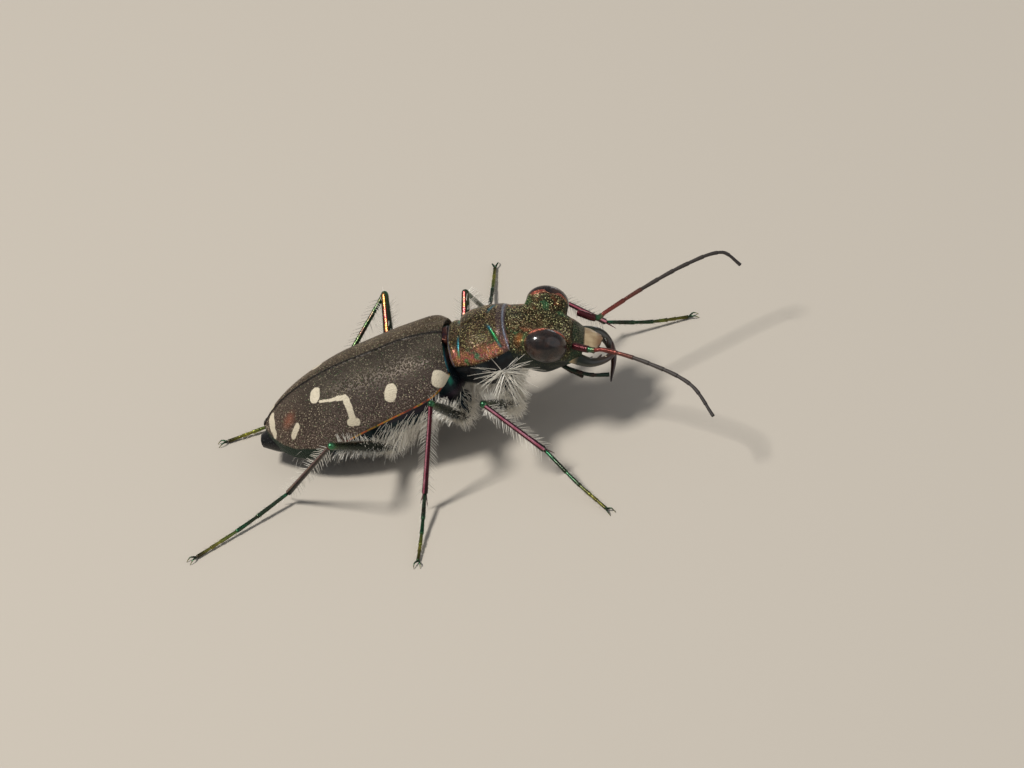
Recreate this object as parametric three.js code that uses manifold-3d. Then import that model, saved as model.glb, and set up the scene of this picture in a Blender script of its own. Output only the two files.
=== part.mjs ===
// A tiger beetle of the twelve-spotted kind, life size, standing alert on six legs.
// Millimetres, +Z up, head towards +X. The trunk is shaped level, with the tip of the
// scutellum at its own origin, and is then tilted head up and set over the floor, z = 0.
import * as THREE from 'three';
import { mergeVertices } from 'three/addons/utils/BufferGeometryUtils.js';
import Module from 'manifold-3d';

const wasm = await Module();
wasm.setup();

// Driving dimensions
const TILT = THREE.MathUtils.degToRad(10.7);   // how far the trunk is pitched head up
const STANCE = 4.57;                           // height of the scutellum's tip over the floor
const NOD = THREE.MathUtils.degToRad(38);      // how far the head looks down from the trunk
const GAP = 0.15;                              // clearance kept between neighbouring pieces
const LIMB = 0.25;                             // least radius of a leg in the solids
const SIDES = { right: -1, left: 1 };          // the animal's right side faces -Y

// Shape of the trunk along x: pairs of place and value
const ELYTRA = {
  front: 0.42, rear: -7.36,
  wide: [[0.42, 1.5], [0.1, 1.87], [-0.4, 2.02], [-2, 2.12], [-3.4, 2.09], [-4.7, 1.94], [-5.7, 1.67], [-6.5, 1.26], [-7.05, 0.76], [-7.36, 0.26]],
  top: [[0.42, -0.05], [-0.1, 0.1], [-1, 0.21], [-2.5, 0.12], [-3.9, 0.02], [-5.06, -0.22], [-6, -0.54], [-6.8, -0.98], [-7.36, -1.45]],
  waist: [[0.42, -0.9], [-0.5, -1.28], [-2.3, -1.55], [-3.9, -1.87], [-5.3, -2.34], [-6.3, -2.42], [-7.36, -2.1]],
  under: 0.16,
};
const PROTHORAX = {
  front: 2.85, rear: 0.58,
  wide: [[0.58, 1.15], [0.88, 1.25], [1.2, 1.36], [1.75, 1.42], [2.3, 1.37], [2.6, 1.28], [2.85, 1.15]],
  top: [[0.58, -0.3], [0.74, -0.18], [0.9, -0.28], [1.1, -0.1], [1.6, -0.02], [2.15, -0.06], [2.36, -0.22], [2.5, -0.12], [2.75, -0.12], [2.85, -0.26]],
  waist: [[0.58, -1.05], [2.85, -1.1]],
  bottom: [[0.58, -2.2], [1.2, -2.55], [1.9, -2.7], [2.5, -2.5], [2.85, -2.15]],
};
const HIND_BODY = {
  front: 0.5, rear: -7.75, split: -2.45,
  wide: [[0.5, 1.0], [0.1, 1.42], [-1, 1.74], [-2.6, 1.86], [-4.5, 1.74], [-5.5, 1.5], [-6.5, 1.08], [-7.2, 0.66], [-7.75, 0.28]],
  top: [[0.5, -0.85], [-0.5, -0.6], [-1.6, -0.46], [-3.9, -0.62], [-5.06, -0.9], [-6, -1.26], [-6.9, -1.72], [-7.75, -1.98]],
  waist: [[0.5, -1.6], [-2, -2.0], [-5, -2.4], [-7.75, -2.16]],
  bottom: [[0.5, -2.1], [0, -2.6], [-0.6, -2.85], [-2.4, -3.0], [-4.5, -3.0], [-6, -2.85], [-7, -2.6], [-7.75, -2.34]],
};
// The head's own frame starts at the top of the neck and looks along the face
const NECK = new THREE.Vector3(2.9, 0, -0.35);
const HEAD = {
  rear: -0.35, front: 2.85,
  wide: [[-0.35, 0.95], [0.3, 1.2], [0.9, 1.26], [1.5, 1.22], [2.1, 1.12], [2.6, 0.96], [2.85, 0.82]],
  top: [[-0.35, 0.03], [0.45, 0.12], [1.5, 0.13], [2.3, 0.1], [2.85, -0.06]],
  waist: [[-0.35, -0.6], [2.85, -0.4]],
  bottom: [[-0.35, -1.3], [0.6, -1.58], [1.4, -1.7], [2.1, -1.42], [2.85, -0.85]],
};
const EYE = { along: 0.79, across: 0.58, high: 0.64, place: [1.46, 1.2, 0.03], bare: 1.05, lid: 0.04 };
const LABRUM = { root: 2.99, reach: 0.62, wide: 0.66, thick: 0.36, lift: -0.2 };

// Legs: the outer end of each coxa on the trunk, then knee, ankle and claws in the standing frame
const LEGS = {
  front: {
    root: [1.95, 0.6, -2.2], base: [1.84, 1.12, -3.35], thigh: 0.27,
    right: [[1.82, -3.25, 3.5], [3.61, -3.57, 1.2], [5.7, -6.12, 0]],
    left: [[4.08, 2.96, 3.21], [5.61, 3.82, 0.89], [8.54, 4.37, 0]],
  },
  middle: {
    root: [0.1, 0.6, -2.3], base: [-0.02, 1.25, -3.1], thigh: 0.27,
    right: [[-0.01, -3.32, 3.97], [-0.98, -4.38, 0.72], [-1.27, -7.34, 0]],
    left: [[0.85, 3.93, 3.27], [0.98, 6.12, 0.49], [1.03, 9.3, 0]],
  },
  hind: {
    root: [-2.3, 0.7, -2.4], base: [-2.95, 1.45, -3.2], thigh: 0.29,
    right: [[-3.77, -4.48, 3.71], [-6.25, -2.7, 0.5], [-9.68, -5.02, 0]],
    left: [[-2.33, 5.04, 2.98], [-5.11, 2.35, 0.6], [-8.85, 1.5, 0]],
  },
};
const COXA = { root: 0.55, tip: 0.36 };
const TARSOMERES = [0.36, 0.22, 0.17, 0.11, 0.14];   // shares of a foot's length
const CLAW = { length: 0.55, spread: 0.5, radius: 0.13 };
const SPUR = { length: 0.6, radius: 0.12 };

// Feelers: their line in the standing frame, from the scape's root to the tip
const ANTENNAE = {
  right: [[5.15, -0.94, 3.69], [5.88, -1.38, 3.7], [6.39, -1.6, 3.77], [8.06, -2.76, 3.7], [9.53, -3.9, 3.31], [10.21, -4.96, 2.55]],
  left: [[5.26, 0.93, 3.76], [5.93, 0.84, 3.42], [6.27, 1.02, 3.48], [7.63, 1.82, 3.64], [9.31, 2.75, 3.72], [10.61, 3.26, 3.6], [11.19, 3.07, 3.02]],
};
const SEGMENTS = [0.105, 0.04, 0.145, 0.11, 0.105, 0.095, 0.09, 0.085, 0.08, 0.07, 0.075];
const FEELER = { scape: 0.27, root: 0.25, tip: 0.16 };

// Jaws and palps, in the trunk's frame, as lines from root to tip on the animal's own side
const MANDIBLES = {
  right: [[4.5, 0.7, -2.35], [5.2, 0.85, -2.85], [5.85, 0.5, -3.08], [5.95, -0.15, -2.95]],
  left: [[4.5, 0.7, -2.35], [5.4, 0.9, -2.95], [5.65, 0.4, -3.65], [5.3, -0.38, -4.3]],
};
const MAXILLARY_PALP = [[4.0, 0.62, -2.65], [4.45, 0.8, -3.0], [4.95, 0.82, -3.4], [5.5, 0.66, -3.75]];
const LABIAL_PALP = [[3.8, 0.28, -2.75], [4.15, 0.36, -3.25], [4.5, 0.42, -3.65]];

// A smooth value along x through a few pairs of place and value
function through(pairs) {
  const rows = [...pairs].sort((a, b) => a[0] - b[0]);
  const slope = (i) => {
    const a = rows[Math.max(i - 1, 0)];
    const b = rows[Math.min(i + 1, rows.length - 1)];
    return (b[1] - a[1]) / (b[0] - a[0]);
  };
  return (x) => {
    let i = rows.findIndex((row) => row[0] > x) - 1;
    if (i < 0) i = x <= rows[0][0] ? 0 : rows.length - 2;
    const width = rows[i + 1][0] - rows[i][0];
    const t = THREE.MathUtils.clamp((x - rows[i][0]) / width, 0, 1);
    const [h00, h10] = [(1 + 2 * t) * (1 - t) ** 2, t * (1 - t) ** 2];
    const [h01, h11] = [t * t * (3 - 2 * t), t * t * (t - 1)];
    return h00 * rows[i][1] + h10 * width * slope(i) + h01 * rows[i + 1][1] + h11 * width * slope(i + 1);
  };
}

// A closed three.js geometry as a solid, with its faces turned outwards
function solid(geometry) {
  const bare = geometry.clone();
  bare.deleteAttribute('normal');
  bare.deleteAttribute('uv');
  const merged = mergeVertices(bare, 1e-5);
  return new wasm.Manifold(new wasm.Mesh({
    numProp: 3,
    vertProperties: new Float32Array(merged.attributes.position.array),
    triVerts: new Uint32Array(merged.index.array),
  }));
}

// The largest closed surface of a solid, as a geometry
function shapeOf(body) {
  const parts = body.decompose().sort((a, b) => b.volume() - a.volume());
  const mesh = parts[0].simplify(0.002).getMesh();
  const geometry = new THREE.BufferGeometry();
  geometry.setAttribute('position', new THREE.BufferAttribute(new Float32Array(mesh.vertProperties), 3));
  geometry.setIndex(new THREE.BufferAttribute(new Uint32Array(mesh.triVerts), 1));
  geometry.computeVertexNormals();
  return geometry;
}

// A bar whose sections are moved to where place(t, angle, radius) says, from t = 0 to t = 1
function formed(around, along, place) {
  const geometry = new THREE.CylinderGeometry(1, 1, 1, around, along);
  const spots = geometry.attributes.position;
  for (let i = 0; i < spots.count; i++) {
    const t = Math.round((spots.getY(i) + 0.5) * along) / along;
    const radius = Math.hypot(spots.getX(i), spots.getZ(i)) > 0.5 ? 1 : 0;
    const point = place(t, Math.atan2(spots.getX(i), spots.getZ(i)), radius);
    spots.setXYZ(i, point.x, point.y, point.z);
  }
  return geometry;
}

// A body form along x, with rounded sections that grow by a margin
function hull(form, { grow = 0, around = 24, along = 24, square = 2.5 } = {}) {
  const wide = through(form.wide);
  const top = through(form.top);
  const waist = through(form.waist);
  const bottom = form.bottom ? through(form.bottom) : (x) => waist(x) - form.under;
  const start = form.rear - grow;
  const length = form.front - form.rear + 2 * grow;
  return solid(formed(around, along, (t, angle, radius) => {
    const ease = t - Math.sin(2 * Math.PI * t) * 0.09;
    const x = start + length * ease;
    const seat = THREE.MathUtils.clamp(x, form.rear, form.front);
    const bend = (v) => Math.sign(v) * Math.abs(v) ** (2 / square);
    const across = bend(Math.cos(angle)) * (wide(seat) + grow);
    const rise = bend(Math.sin(angle));
    const reach = rise > 0 ? top(seat) - waist(seat) + grow : waist(seat) - bottom(seat) + grow;
    return new THREE.Vector3(x, across * radius, waist(seat) + rise * reach * radius);
  }));
}

// A round or flattened horn along a curve, with its radius given at each t
function horn(curve, radiusAt, { sides = 8, rings = 4, flat = 1, grow = 0 } = {}) {
  const frames = curve.computeFrenetFrames(rings);
  return solid(formed(sides, rings, (t, angle, radius) => {
    const at = Math.round(t * rings);
    const point = curve.getPointAt(t);
    const size = (radiusAt(t) + grow) * radius;
    const end = t === 0 ? -grow : t === 1 ? grow : 0;
    return point.clone()
      .addScaledVector(frames.tangents[at], end)
      .addScaledVector(frames.normals[at], Math.sin(angle) * size * flat)
      .addScaledVector(frames.binormals[at], -Math.cos(angle) * size);
  }));
}

function ball(centre, radius, detail = 12) {
  const geometry = new THREE.SphereGeometry(radius, detail, detail * 0.6);
  geometry.translate(centre.x, centre.y, centre.z);
  return solid(geometry);
}

function block(low, high) {
  const geometry = new THREE.BoxGeometry(high[0] - low[0], high[1] - low[1], high[2] - low[2]);
  geometry.translate((low[0] + high[0]) / 2, (low[1] + high[1]) / 2, (low[2] + high[2]) / 2);
  return solid(geometry);
}

const fuse = (pieces) => pieces.reduce((all, piece) => all.add(piece));
const less = (body, cutters) => cutters.reduce((left, cutter) => left.subtract(cutter), body);
const curveOf = (points) => new THREE.CatmullRomCurve3(points, false, 'centripetal');
const taper = (from, to) => (t) => from + (to - from) * t;

// Frames: a point of the head in the trunk's frame, and a point of the trunk as it stands
const HEAD_TURN = new THREE.Matrix4().makeRotationY(NOD).setPosition(NECK);
const STAND = new THREE.Matrix4().makeRotationY(-TILT).setPosition(0, 0, STANCE);
const TO_TRUNK = STAND.clone().invert();
const vector = ([x, y, z]) => new THREE.Vector3(x, y, z);
const onSide = ([x, y, z], side) => new THREE.Vector3(x, y * SIDES[side], z);
const moved = (body, matrix) => body.transform([...matrix.elements]);

const FINISH = {
  elytron: { color: 0x50443c, roughness: 0.45, metalness: 0.5 },
  pronotum: { color: 0x6b5a3c, roughness: 0.35, metalness: 0.7 },
  head: { color: 0x4a5a38, roughness: 0.35, metalness: 0.7 },
  under: { color: 0x232b36, roughness: 0.35, metalness: 0.6 },
  eye: { color: 0x1c1410, roughness: 0.12, metalness: 0 },
  cream: { color: 0xd8c9a6, roughness: 0.5, metalness: 0 },
  jaw: { color: 0x2c1712, roughness: 0.3, metalness: 0.1 },
  thigh: { color: 0x3c4a32, roughness: 0.3, metalness: 0.8 },
  shin: { color: 0x6a2d45, roughness: 0.3, metalness: 0.8 },
  foot: { color: 0x2d4a34, roughness: 0.3, metalness: 0.8 },
  feeler: { color: 0x4a3a34, roughness: 0.5, metalness: 0.3 },
};
const beetle = new THREE.Group();
const trunk = new THREE.Group();
trunk.rotation.y = -TILT;
trunk.position.z = STANCE;
beetle.add(trunk);

function put(parent, name, body, finish) {
  const mesh = new THREE.Mesh(shapeOf(body), new THREE.MeshStandardMaterial(FINISH[finish]));
  mesh.name = name;
  parent.add(mesh);
}

// Thorax and abdomen
const prothoraxForm = (grow) => hull(PROTHORAX, { grow, around: 22, along: 16, square: 2.3 });
const hindForm = (grow) => hull(HIND_BODY, { grow, around: 20, along: 16, square: 2.4 });
const MARGIN = PROTHORAX.waist[0][1];
const FAR = 20;
put(trunk, 'pronotum', less(prothoraxForm(0), [block([-FAR, -FAR, -FAR], [FAR, FAR, MARGIN])]), 'pronotum');
put(trunk, 'prothorax', less(prothoraxForm(0), [block([-FAR, -FAR, MARGIN - GAP], [FAR, FAR, FAR])]), 'under');
put(trunk, 'pterothorax', less(hindForm(0), [
  block([-FAR, -FAR, -FAR], [HIND_BODY.split, FAR, FAR]),
  prothoraxForm(GAP),
]), 'under');
put(trunk, 'abdomen', less(hindForm(0), [block([HIND_BODY.split - GAP, -FAR, -FAR], [FAR, FAR, FAR])]), 'under');

// Scutellum: a small triangular shield between the roots of the elytra
function scutellum(grow) {
  const outline = new THREE.Shape([
    new THREE.Vector2(-grow * 2.5, 0),
    new THREE.Vector2(0.52 + grow, 0.46 + grow * 1.3),
    new THREE.Vector2(0.52 + grow, -0.46 - grow * 1.3),
  ]);
  const plate = new THREE.ExtrudeGeometry(outline, { depth: 0.6 + grow * 8, bevelEnabled: false });
  plate.translate(0, 0, -0.6 - grow);
  return solid(plate);
}
put(trunk, 'scutellum', less(scutellum(0), [hindForm(GAP), prothoraxForm(GAP)]), 'pronotum');

// Elytra: two hard shells that meet along the back over the abdomen
const shell = hull(ELYTRA, { around: 36, along: 24, square: 2.0 });
for (const side of ['right', 'left']) {
  const other = side === 'right' ? [-GAP / 2, FAR] : [-FAR, GAP / 2];
  put(trunk, `elytron_${side}`, less(shell, [
    block([-FAR, other[0], -FAR], [FAR, other[1], FAR]),
    hindForm(GAP),
    scutellum(GAP),
  ]), 'elytron');
}

// Head: capsule, eyes, labrum, jaws and palps
// A lid of the head covers the inner half of each eye, and the eye is bare outside it
function eyeBall(side, grow) {
  const geometry = new THREE.SphereGeometry(1, 16, 12);
  geometry.scale(EYE.along + grow, EYE.across + grow, EYE.high + grow);
  const [x, y, z] = EYE.place;
  geometry.translate(x, y * SIDES[side], z);
  return solid(geometry);
}
function outside(side, from) {
  const far = SIDES[side] * FAR;
  return block([-FAR, Math.min(SIDES[side] * from, far), -FAR], [FAR, Math.max(SIDES[side] * from, far), FAR]);
}
const eyeForm = (side, grow) => moved(
  eyeBall(side, grow).intersect(outside(side, EYE.bare + GAP - grow)),
  HEAD_TURN,
);
const lid = (side, grow) => eyeBall(side, EYE.lid + grow).subtract(outside(side, EYE.bare + grow));
const headForm = (grow) => moved(
  fuse([hull(HEAD, { grow, around: 20, along: 12, square: 2.4 }), lid('right', grow), lid('left', grow)]),
  HEAD_TURN,
);
function labrumForm(grow) {
  const lip = new THREE.Shape();
  const [w, r] = [LABRUM.wide + grow, LABRUM.reach + grow];
  lip.moveTo(-grow, -w);
  lip.lineTo(r * 0.6, -w * 0.92);
  lip.quadraticCurveTo(r * 0.95, -w * 0.6, r * 0.86, -w * 0.3);
  lip.lineTo(r, 0);
  lip.lineTo(r * 0.86, w * 0.3);
  lip.quadraticCurveTo(r * 0.95, w * 0.6, r * 0.6, w * 0.92);
  lip.lineTo(-grow, w);
  const body = new THREE.ExtrudeGeometry(lip, { depth: LABRUM.thick + 2 * grow, bevelEnabled: false, curveSegments: 4 });
  body.translate(LABRUM.root, 0, LABRUM.lift - LABRUM.thick / 2 - grow);
  return moved(solid(body), HEAD_TURN);
}
function mandibleForm(side, grow) {
  const points = MANDIBLES[side].map((p) => onSide(p, side));
  const line = curveOf(points);
  const blade = horn(line, (t) => 0.3 - 0.2 * t ** 1.5, { sides: 8, rings: 7, grow });
  const teeth = [0.4, 0.58].map((t) => {
    const root = line.getPointAt(t);
    const inward = new THREE.Vector3(0.1, -SIDES[side] * 0.4, 0.05).add(root);
    return horn(new THREE.LineCurve3(root, inward), taper(0.14 + grow, 0.05 + grow), { sides: 5, rings: 1 });
  });
  return fuse([blade, ...teeth]);
}
const palpForm = (points, side, radius, grow) => horn(
  curveOf(points.map((p) => onSide(p, side))),
  (t) => radius * (0.9 + 0.25 * Math.abs(Math.cos(3 * Math.PI * t))) * (1 - 0.3 * t),
  { sides: 7, rings: 8, grow },
);
const headParts = [prothoraxForm(GAP), eyeForm('right', GAP), eyeForm('left', GAP)];
put(trunk, 'head', less(headForm(0), headParts), 'head');
put(trunk, 'labrum', less(labrumForm(0), [headForm(GAP)]), 'cream');
for (const side of ['right', 'left']) {
  put(trunk, `eye_${side}`, less(eyeForm(side, 0), [prothoraxForm(GAP)]), 'eye');
  const others = side === 'right' ? [] : [mandibleForm('right', GAP)];
  put(trunk, `mandible_${side}`, less(mandibleForm(side, 0), [headForm(GAP), labrumForm(GAP), ...others]), 'jaw');
  const jaws = [mandibleForm('right', GAP), mandibleForm('left', GAP)];
  const maxillary = less(palpForm(MAXILLARY_PALP, side, 0.22, 0), [headForm(GAP), ...jaws]);
  put(trunk, `maxillary_palp_${side}`, maxillary, 'jaw');
  const labial = less(palpForm(LABIAL_PALP, side, 0.2, 0), [headForm(GAP), palpForm(MAXILLARY_PALP, side, 0.22, GAP), ...jaws]);
  put(trunk, `labial_palp_${side}`, labial, 'jaw');
}

// Feelers: eleven segments each, parted into scape with pedicel and two lengths of flagellum
const standing = (body) => moved(body, STAND);
for (const side of ['right', 'left']) {
  const line = curveOf(ANTENNAE[side].map(vector));
  const length = line.getLength();
  const ends = SEGMENTS.map((_, i) => SEGMENTS.slice(0, i + 1).reduce((a, b) => a + b, 0));
  const lengths = { scape: [0, ends[1]], inner: [ends[1], ends[5]], outer: [ends[5], 1] };
  for (const [part, [from, to]] of Object.entries(lengths)) {
    const pieces = [];
    SEGMENTS.forEach((share, i) => {
      const [a, b] = [ends[i] - share, ends[i]];
      if (a < from - 1e-6 || b > to + 1e-6) return;
      const start = i === 0 ? line.getPointAt(0) : line.getPointAt(a === from ? a + GAP / length : Math.max(a - 0.004, 0));
      const stop = line.getPointAt(Math.min(b, 1));
      const thick = i === 0 ? FEELER.scape : FEELER.root + (FEELER.tip - FEELER.root) * a;
      pieces.push(horn(new THREE.LineCurve3(start, stop), (t) => thick * (0.88 + 0.12 * t), { sides: 6, rings: 1 }));
    });
    const keepOff = part === 'scape' ? [standing(headForm(GAP)), standing(eyeForm(side, GAP))] : [];
    put(beetle, `antenna_${side}_${part}`, less(fuse(pieces), keepOff), 'feeler');
  }
}

// Legs: coxa on the trunk, femur, tibia with two spurs, and a foot of five joints with two claws
const underFloor = block([-FAR, -FAR, -FAR], [FAR, FAR, 0]);
for (const [pair, leg] of Object.entries(LEGS)) {
  for (const side of ['right', 'left']) {
    const root = onSide(leg.root, side).applyMatrix4(STAND);
    const base = onSide(leg.base, side).applyMatrix4(STAND);
    const [knee, ankle, toe] = leg[side].map(vector);
    const name = `leg_${pair}_${side}`;
    const coxa = (grow) => fuse([
      horn(new THREE.LineCurve3(root, base), taper(COXA.root, COXA.tip), { sides: 10, rings: 2, grow }),
      ball(base, COXA.tip + grow, 10),
    ]);
    const trunkForms = [standing(prothoraxForm(GAP)), standing(hindForm(GAP))];
    put(beetle, `${name}_coxa`, less(coxa(0), trunkForms), 'under');

    const thigh = (t) => leg.thigh + 0.05 * Math.sin(Math.PI * Math.min(t * 1.3, 1));
    const femur = (grow) => horn(new THREE.LineCurve3(base, knee), thigh, { sides: 8, rings: 5, grow });
    put(beetle, `${name}_femur`, less(femur(0), [coxa(GAP), ...trunkForms]), 'thigh');

    const shin = new THREE.LineCurve3(knee, ankle);
    const down = shin.getTangent(0);
    const tibia = (grow) => horn(shin, taper(LIMB, LIMB * 1.08), { sides: 6, rings: 2, grow });
    const across = new THREE.Vector3().crossVectors(down, new THREE.Vector3(0, 0, 1)).normalize();
    const spurs = [-1, 1].map((way) => {
      const from = ankle.clone().addScaledVector(down, -0.1).addScaledVector(across, 0.1 * way);
      const to = ankle.clone().addScaledVector(down, SPUR.length * 0.75).addScaledVector(across, SPUR.length * 0.6 * way);
      return horn(new THREE.LineCurve3(from, to), taper(SPUR.radius, 0.05), { sides: 5, rings: 1 });
    });
    put(beetle, `${name}_tibia`, less(fuse([tibia(0), ...spurs]), [femur(GAP), underFloor]), 'shin');

    const rest = new THREE.Vector3(toe.x, toe.y, LIMB * 0.6);
    const bend = ankle.clone().lerp(rest, 0.5);
    bend.z = Math.max(LIMB * 0.9, ankle.z * 0.42);
    const line = curveOf([ankle, bend, rest]);
    let at = 0;
    const joints = TARSOMERES.map((share, i) => {
      const from = line.getPointAt(at);
      at = Math.min(at + share, 1);
      const to = line.getPointAt(at);
      const size = LIMB * (1 - 0.06 * i);
      return horn(new THREE.LineCurve3(from, to), taper(size * 0.85, size), { sides: 6, rings: 1 });
    });
    const heading = line.getTangentAt(1).setZ(0).normalize();
    const aside = new THREE.Vector3(-heading.y, heading.x, 0);
    const claws = [-1, 1].map((way) => {
      const from = rest.clone().addScaledVector(heading, -0.1);
      const to = rest.clone().addScaledVector(heading, CLAW.length).addScaledVector(aside, CLAW.spread * CLAW.length * way);
      to.z = 0.07;
      return horn(new THREE.LineCurve3(from, to), taper(CLAW.radius, 0.06), { sides: 5, rings: 1 });
    });
    const shinCut = fuse([tibia(GAP), ...spurs.map((spur) => spur)]);
    put(beetle, `${name}_tarsus`, less(fuse([...joints, ...claws]), [shinCut, underFloor]), 'foot');
  }
}

// The whole animal is centred over the origin, with its claws on the floor
beetle.updateMatrixWorld(true);
const middle = new THREE.Box3().setFromObject(beetle, true).getCenter(new THREE.Vector3());
beetle.position.set(-middle.x, -middle.y, 0);

export default beetle;
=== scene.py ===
# %% [markdown]
# # A tiger beetle, thirteen millimetres long
# This lesson dresses a measured model of a tiger beetle. The model comes first, as a fixed
# frame that nothing here moves: every piece below takes its place from it.

# %% The frame
import math

import bmesh
import bpy
import numpy as np
from mathutils import Matrix, Vector


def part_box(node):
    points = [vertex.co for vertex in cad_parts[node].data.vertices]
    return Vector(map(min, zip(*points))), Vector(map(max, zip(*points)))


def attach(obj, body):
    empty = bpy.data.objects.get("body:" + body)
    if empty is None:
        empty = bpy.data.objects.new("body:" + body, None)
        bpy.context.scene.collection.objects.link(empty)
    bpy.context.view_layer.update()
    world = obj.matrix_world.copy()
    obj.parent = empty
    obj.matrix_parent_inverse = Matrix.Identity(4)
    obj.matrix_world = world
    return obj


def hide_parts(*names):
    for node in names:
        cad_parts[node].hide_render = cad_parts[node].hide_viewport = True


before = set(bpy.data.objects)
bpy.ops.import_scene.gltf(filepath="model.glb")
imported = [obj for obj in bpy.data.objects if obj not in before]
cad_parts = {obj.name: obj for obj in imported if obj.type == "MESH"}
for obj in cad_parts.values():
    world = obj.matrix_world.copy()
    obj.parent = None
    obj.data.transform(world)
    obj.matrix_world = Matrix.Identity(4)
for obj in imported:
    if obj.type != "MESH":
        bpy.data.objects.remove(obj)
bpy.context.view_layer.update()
print("frame:", len(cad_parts), "nodes")

# %% [markdown]
# ## Two ways of standing
# The trunk is shaped level, in millimetres, from the tip of the scutellum, and is then
# pitched head up. The head looks down from the trunk. The scutellum of the frame says
# where the trunk's own origin stands.

# %% Frames of reference
MM = 0.001
TILT = math.radians(10.7)
STANCE = 4.57
NOD = math.radians(38)
NECK = Vector((2.9, 0, -0.35))
SIDES = {"right": -1, "left": 1}

shield_low, shield_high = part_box("scutellum")
CENTRE = Vector((shield_low.x, (shield_low.y + shield_high.y) / 2, 0)) / MM
STANDING = Matrix.Translation(CENTRE)
TRUNK = STANDING @ Matrix.Translation((0, 0, STANCE)) @ Matrix.Rotation(-TILT, 4, "Y")
HEAD = TRUNK @ Matrix.Translation(NECK) @ Matrix.Rotation(NOD, 4, "Y")
print("trunk origin over the floor:", tuple(round(c, 3) for c in TRUNK.translation))

# %% [markdown]
# ## The camera first
# The photograph was taken with a long lens from the beetle's right, a little ahead and well
# above, on sloping ground, so the camera leans. Its three directions are given in the
# standing frame, with the scale of the picture, so that the view keeps the photo's framing.

# %% Camera
RIGHTWARD = Vector((0.971, 0.032, -0.231))
UPWARD = Vector((0.163, 0.622, 0.766))
PIXELS_PER_MM = 27.45
PHOTO = (1024, 768)
TIP_OF_SCUTELLUM = (430.5, 334.3)
DISTANCE = 420
SENSOR = 36

camera_data = bpy.data.cameras.new("camera")
camera = bpy.data.objects.new("camera", camera_data)
bpy.context.scene.collection.objects.link(camera)
bpy.context.scene.camera = camera
right = RIGHTWARD.normalized()
back = right.cross(UPWARD).normalized()
up = back.cross(right)
off_x = (PHOTO[0] / 2 - TIP_OF_SCUTELLUM[0]) / PIXELS_PER_MM
off_y = (TIP_OF_SCUTELLUM[1] - PHOTO[1] / 2) / PIXELS_PER_MM
aim = TRUNK.translation + right * off_x + up * off_y
turn = Matrix((right, up, back)).transposed().to_4x4()
camera.matrix_world = Matrix.Translation((aim + back * DISTANCE) * MM) @ turn
camera_data.sensor_width = SENSOR
camera_data.lens = SENSOR * DISTANCE * PIXELS_PER_MM / PHOTO[0]
camera_data.clip_start = 0.01
print("lens:", round(camera_data.lens), "mm")

# %% [markdown]
# ## A few tools for shapes
# `through` draws a smooth line through a few measured places. `ringed` starts every rounded
# form from Blender's own ball and pushes its rings out to where a rule says, so each form is
# closed and faces outwards. A subdivided box would do as well, but a table of widths and
# heights is easier to measure. Two attributes stay on the points: `own`, the place in the
# piece's own millimetres, and `skin`, the turn round it and the way along it.

# %% Shape tools
def through(pairs):
    """A smooth rule through measured pairs, level beyond both ends."""
    rows = sorted(pairs)
    last = len(rows) - 1

    def slope(i):
        a, b = rows[max(i - 1, 0)], rows[min(i + 1, last)]
        return (b[1] - a[1]) / (b[0] - a[0])

    def value(x):
        i = 0
        while i < last - 1 and x > rows[i + 1][0]:
            i += 1
        width = rows[i + 1][0] - rows[i][0]
        t = min(max((x - rows[i][0]) / width, 0), 1)
        low = (1 + 2 * t) * (1 - t) ** 2 * rows[i][1] + t * (1 - t) ** 2 * width * slope(i)
        high = t * t * (3 - 2 * t) * rows[i + 1][1] + t * t * (t - 1) * width * slope(i + 1)
        return low + high

    return value


def smooth(low, high, x):
    """0 at low and 1 at high, with a smooth climb between."""
    t = min(max((x - low) / (high - low), 0), 1)
    return t * t * (3 - 2 * t)


def hill(x, middle, half):
    """A smooth rise of 1 at the middle, almost gone at twice the distance half from it."""
    return math.exp(-(((x - middle) / half) ** 2))


def crowded(t, share):
    """The way along, with its steps closer together at both ends."""
    return t - math.sin(math.tau * t) * share


def squared(v, square):
    """The sine or cosine of a squarer circle; a square of 2 leaves it round."""
    return math.copysign(abs(v) ** (2 / square), v)


def ringed(around, rings, place):
    """Blender's ball, moved point by point: t runs along it, and out is 0 at its poles."""
    form = bmesh.new()
    bmesh.ops.create_uvsphere(form, u_segments=around, v_segments=rings, radius=1)
    own = form.verts.layers.float_vector.new("own")
    skin = form.verts.layers.float_vector.new("skin")
    for v in form.verts:
        t = math.acos(max(-1, min(1, -v.co.z))) / math.pi
        angle = math.atan2(v.co.y, v.co.x)
        out = 0 if math.hypot(v.co.x, v.co.y) < 1e-6 else 1
        v.co = place(t, angle, out)
        v[own] = v.co
        v[skin] = (angle / math.tau + 0.5, t, 0)
    return form


def hull(table, around, rings, square, sculpt):
    """A trunk form from its widths and heights along x, with sculpt moving each point."""
    wide, top, waist, bottom = (through(table[k]) for k in ("wide", "top", "waist", "bottom"))
    places = [row[0] for row in table["wide"]]
    low, high = min(places), max(places)

    def place(t, angle, out):
        x = low + (high - low) * crowded(t, 0.11)
        rise = squared(math.sin(angle), square)
        reach = top(x) - waist(x) if rise > 0 else waist(x) - bottom(x)
        y = squared(math.cos(angle), square) * wide(x) * out
        point = Vector((x, y, waist(x) + rise * reach * out))
        return sculpt(point) if out else point

    return ringed(around, rings, place)


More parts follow.
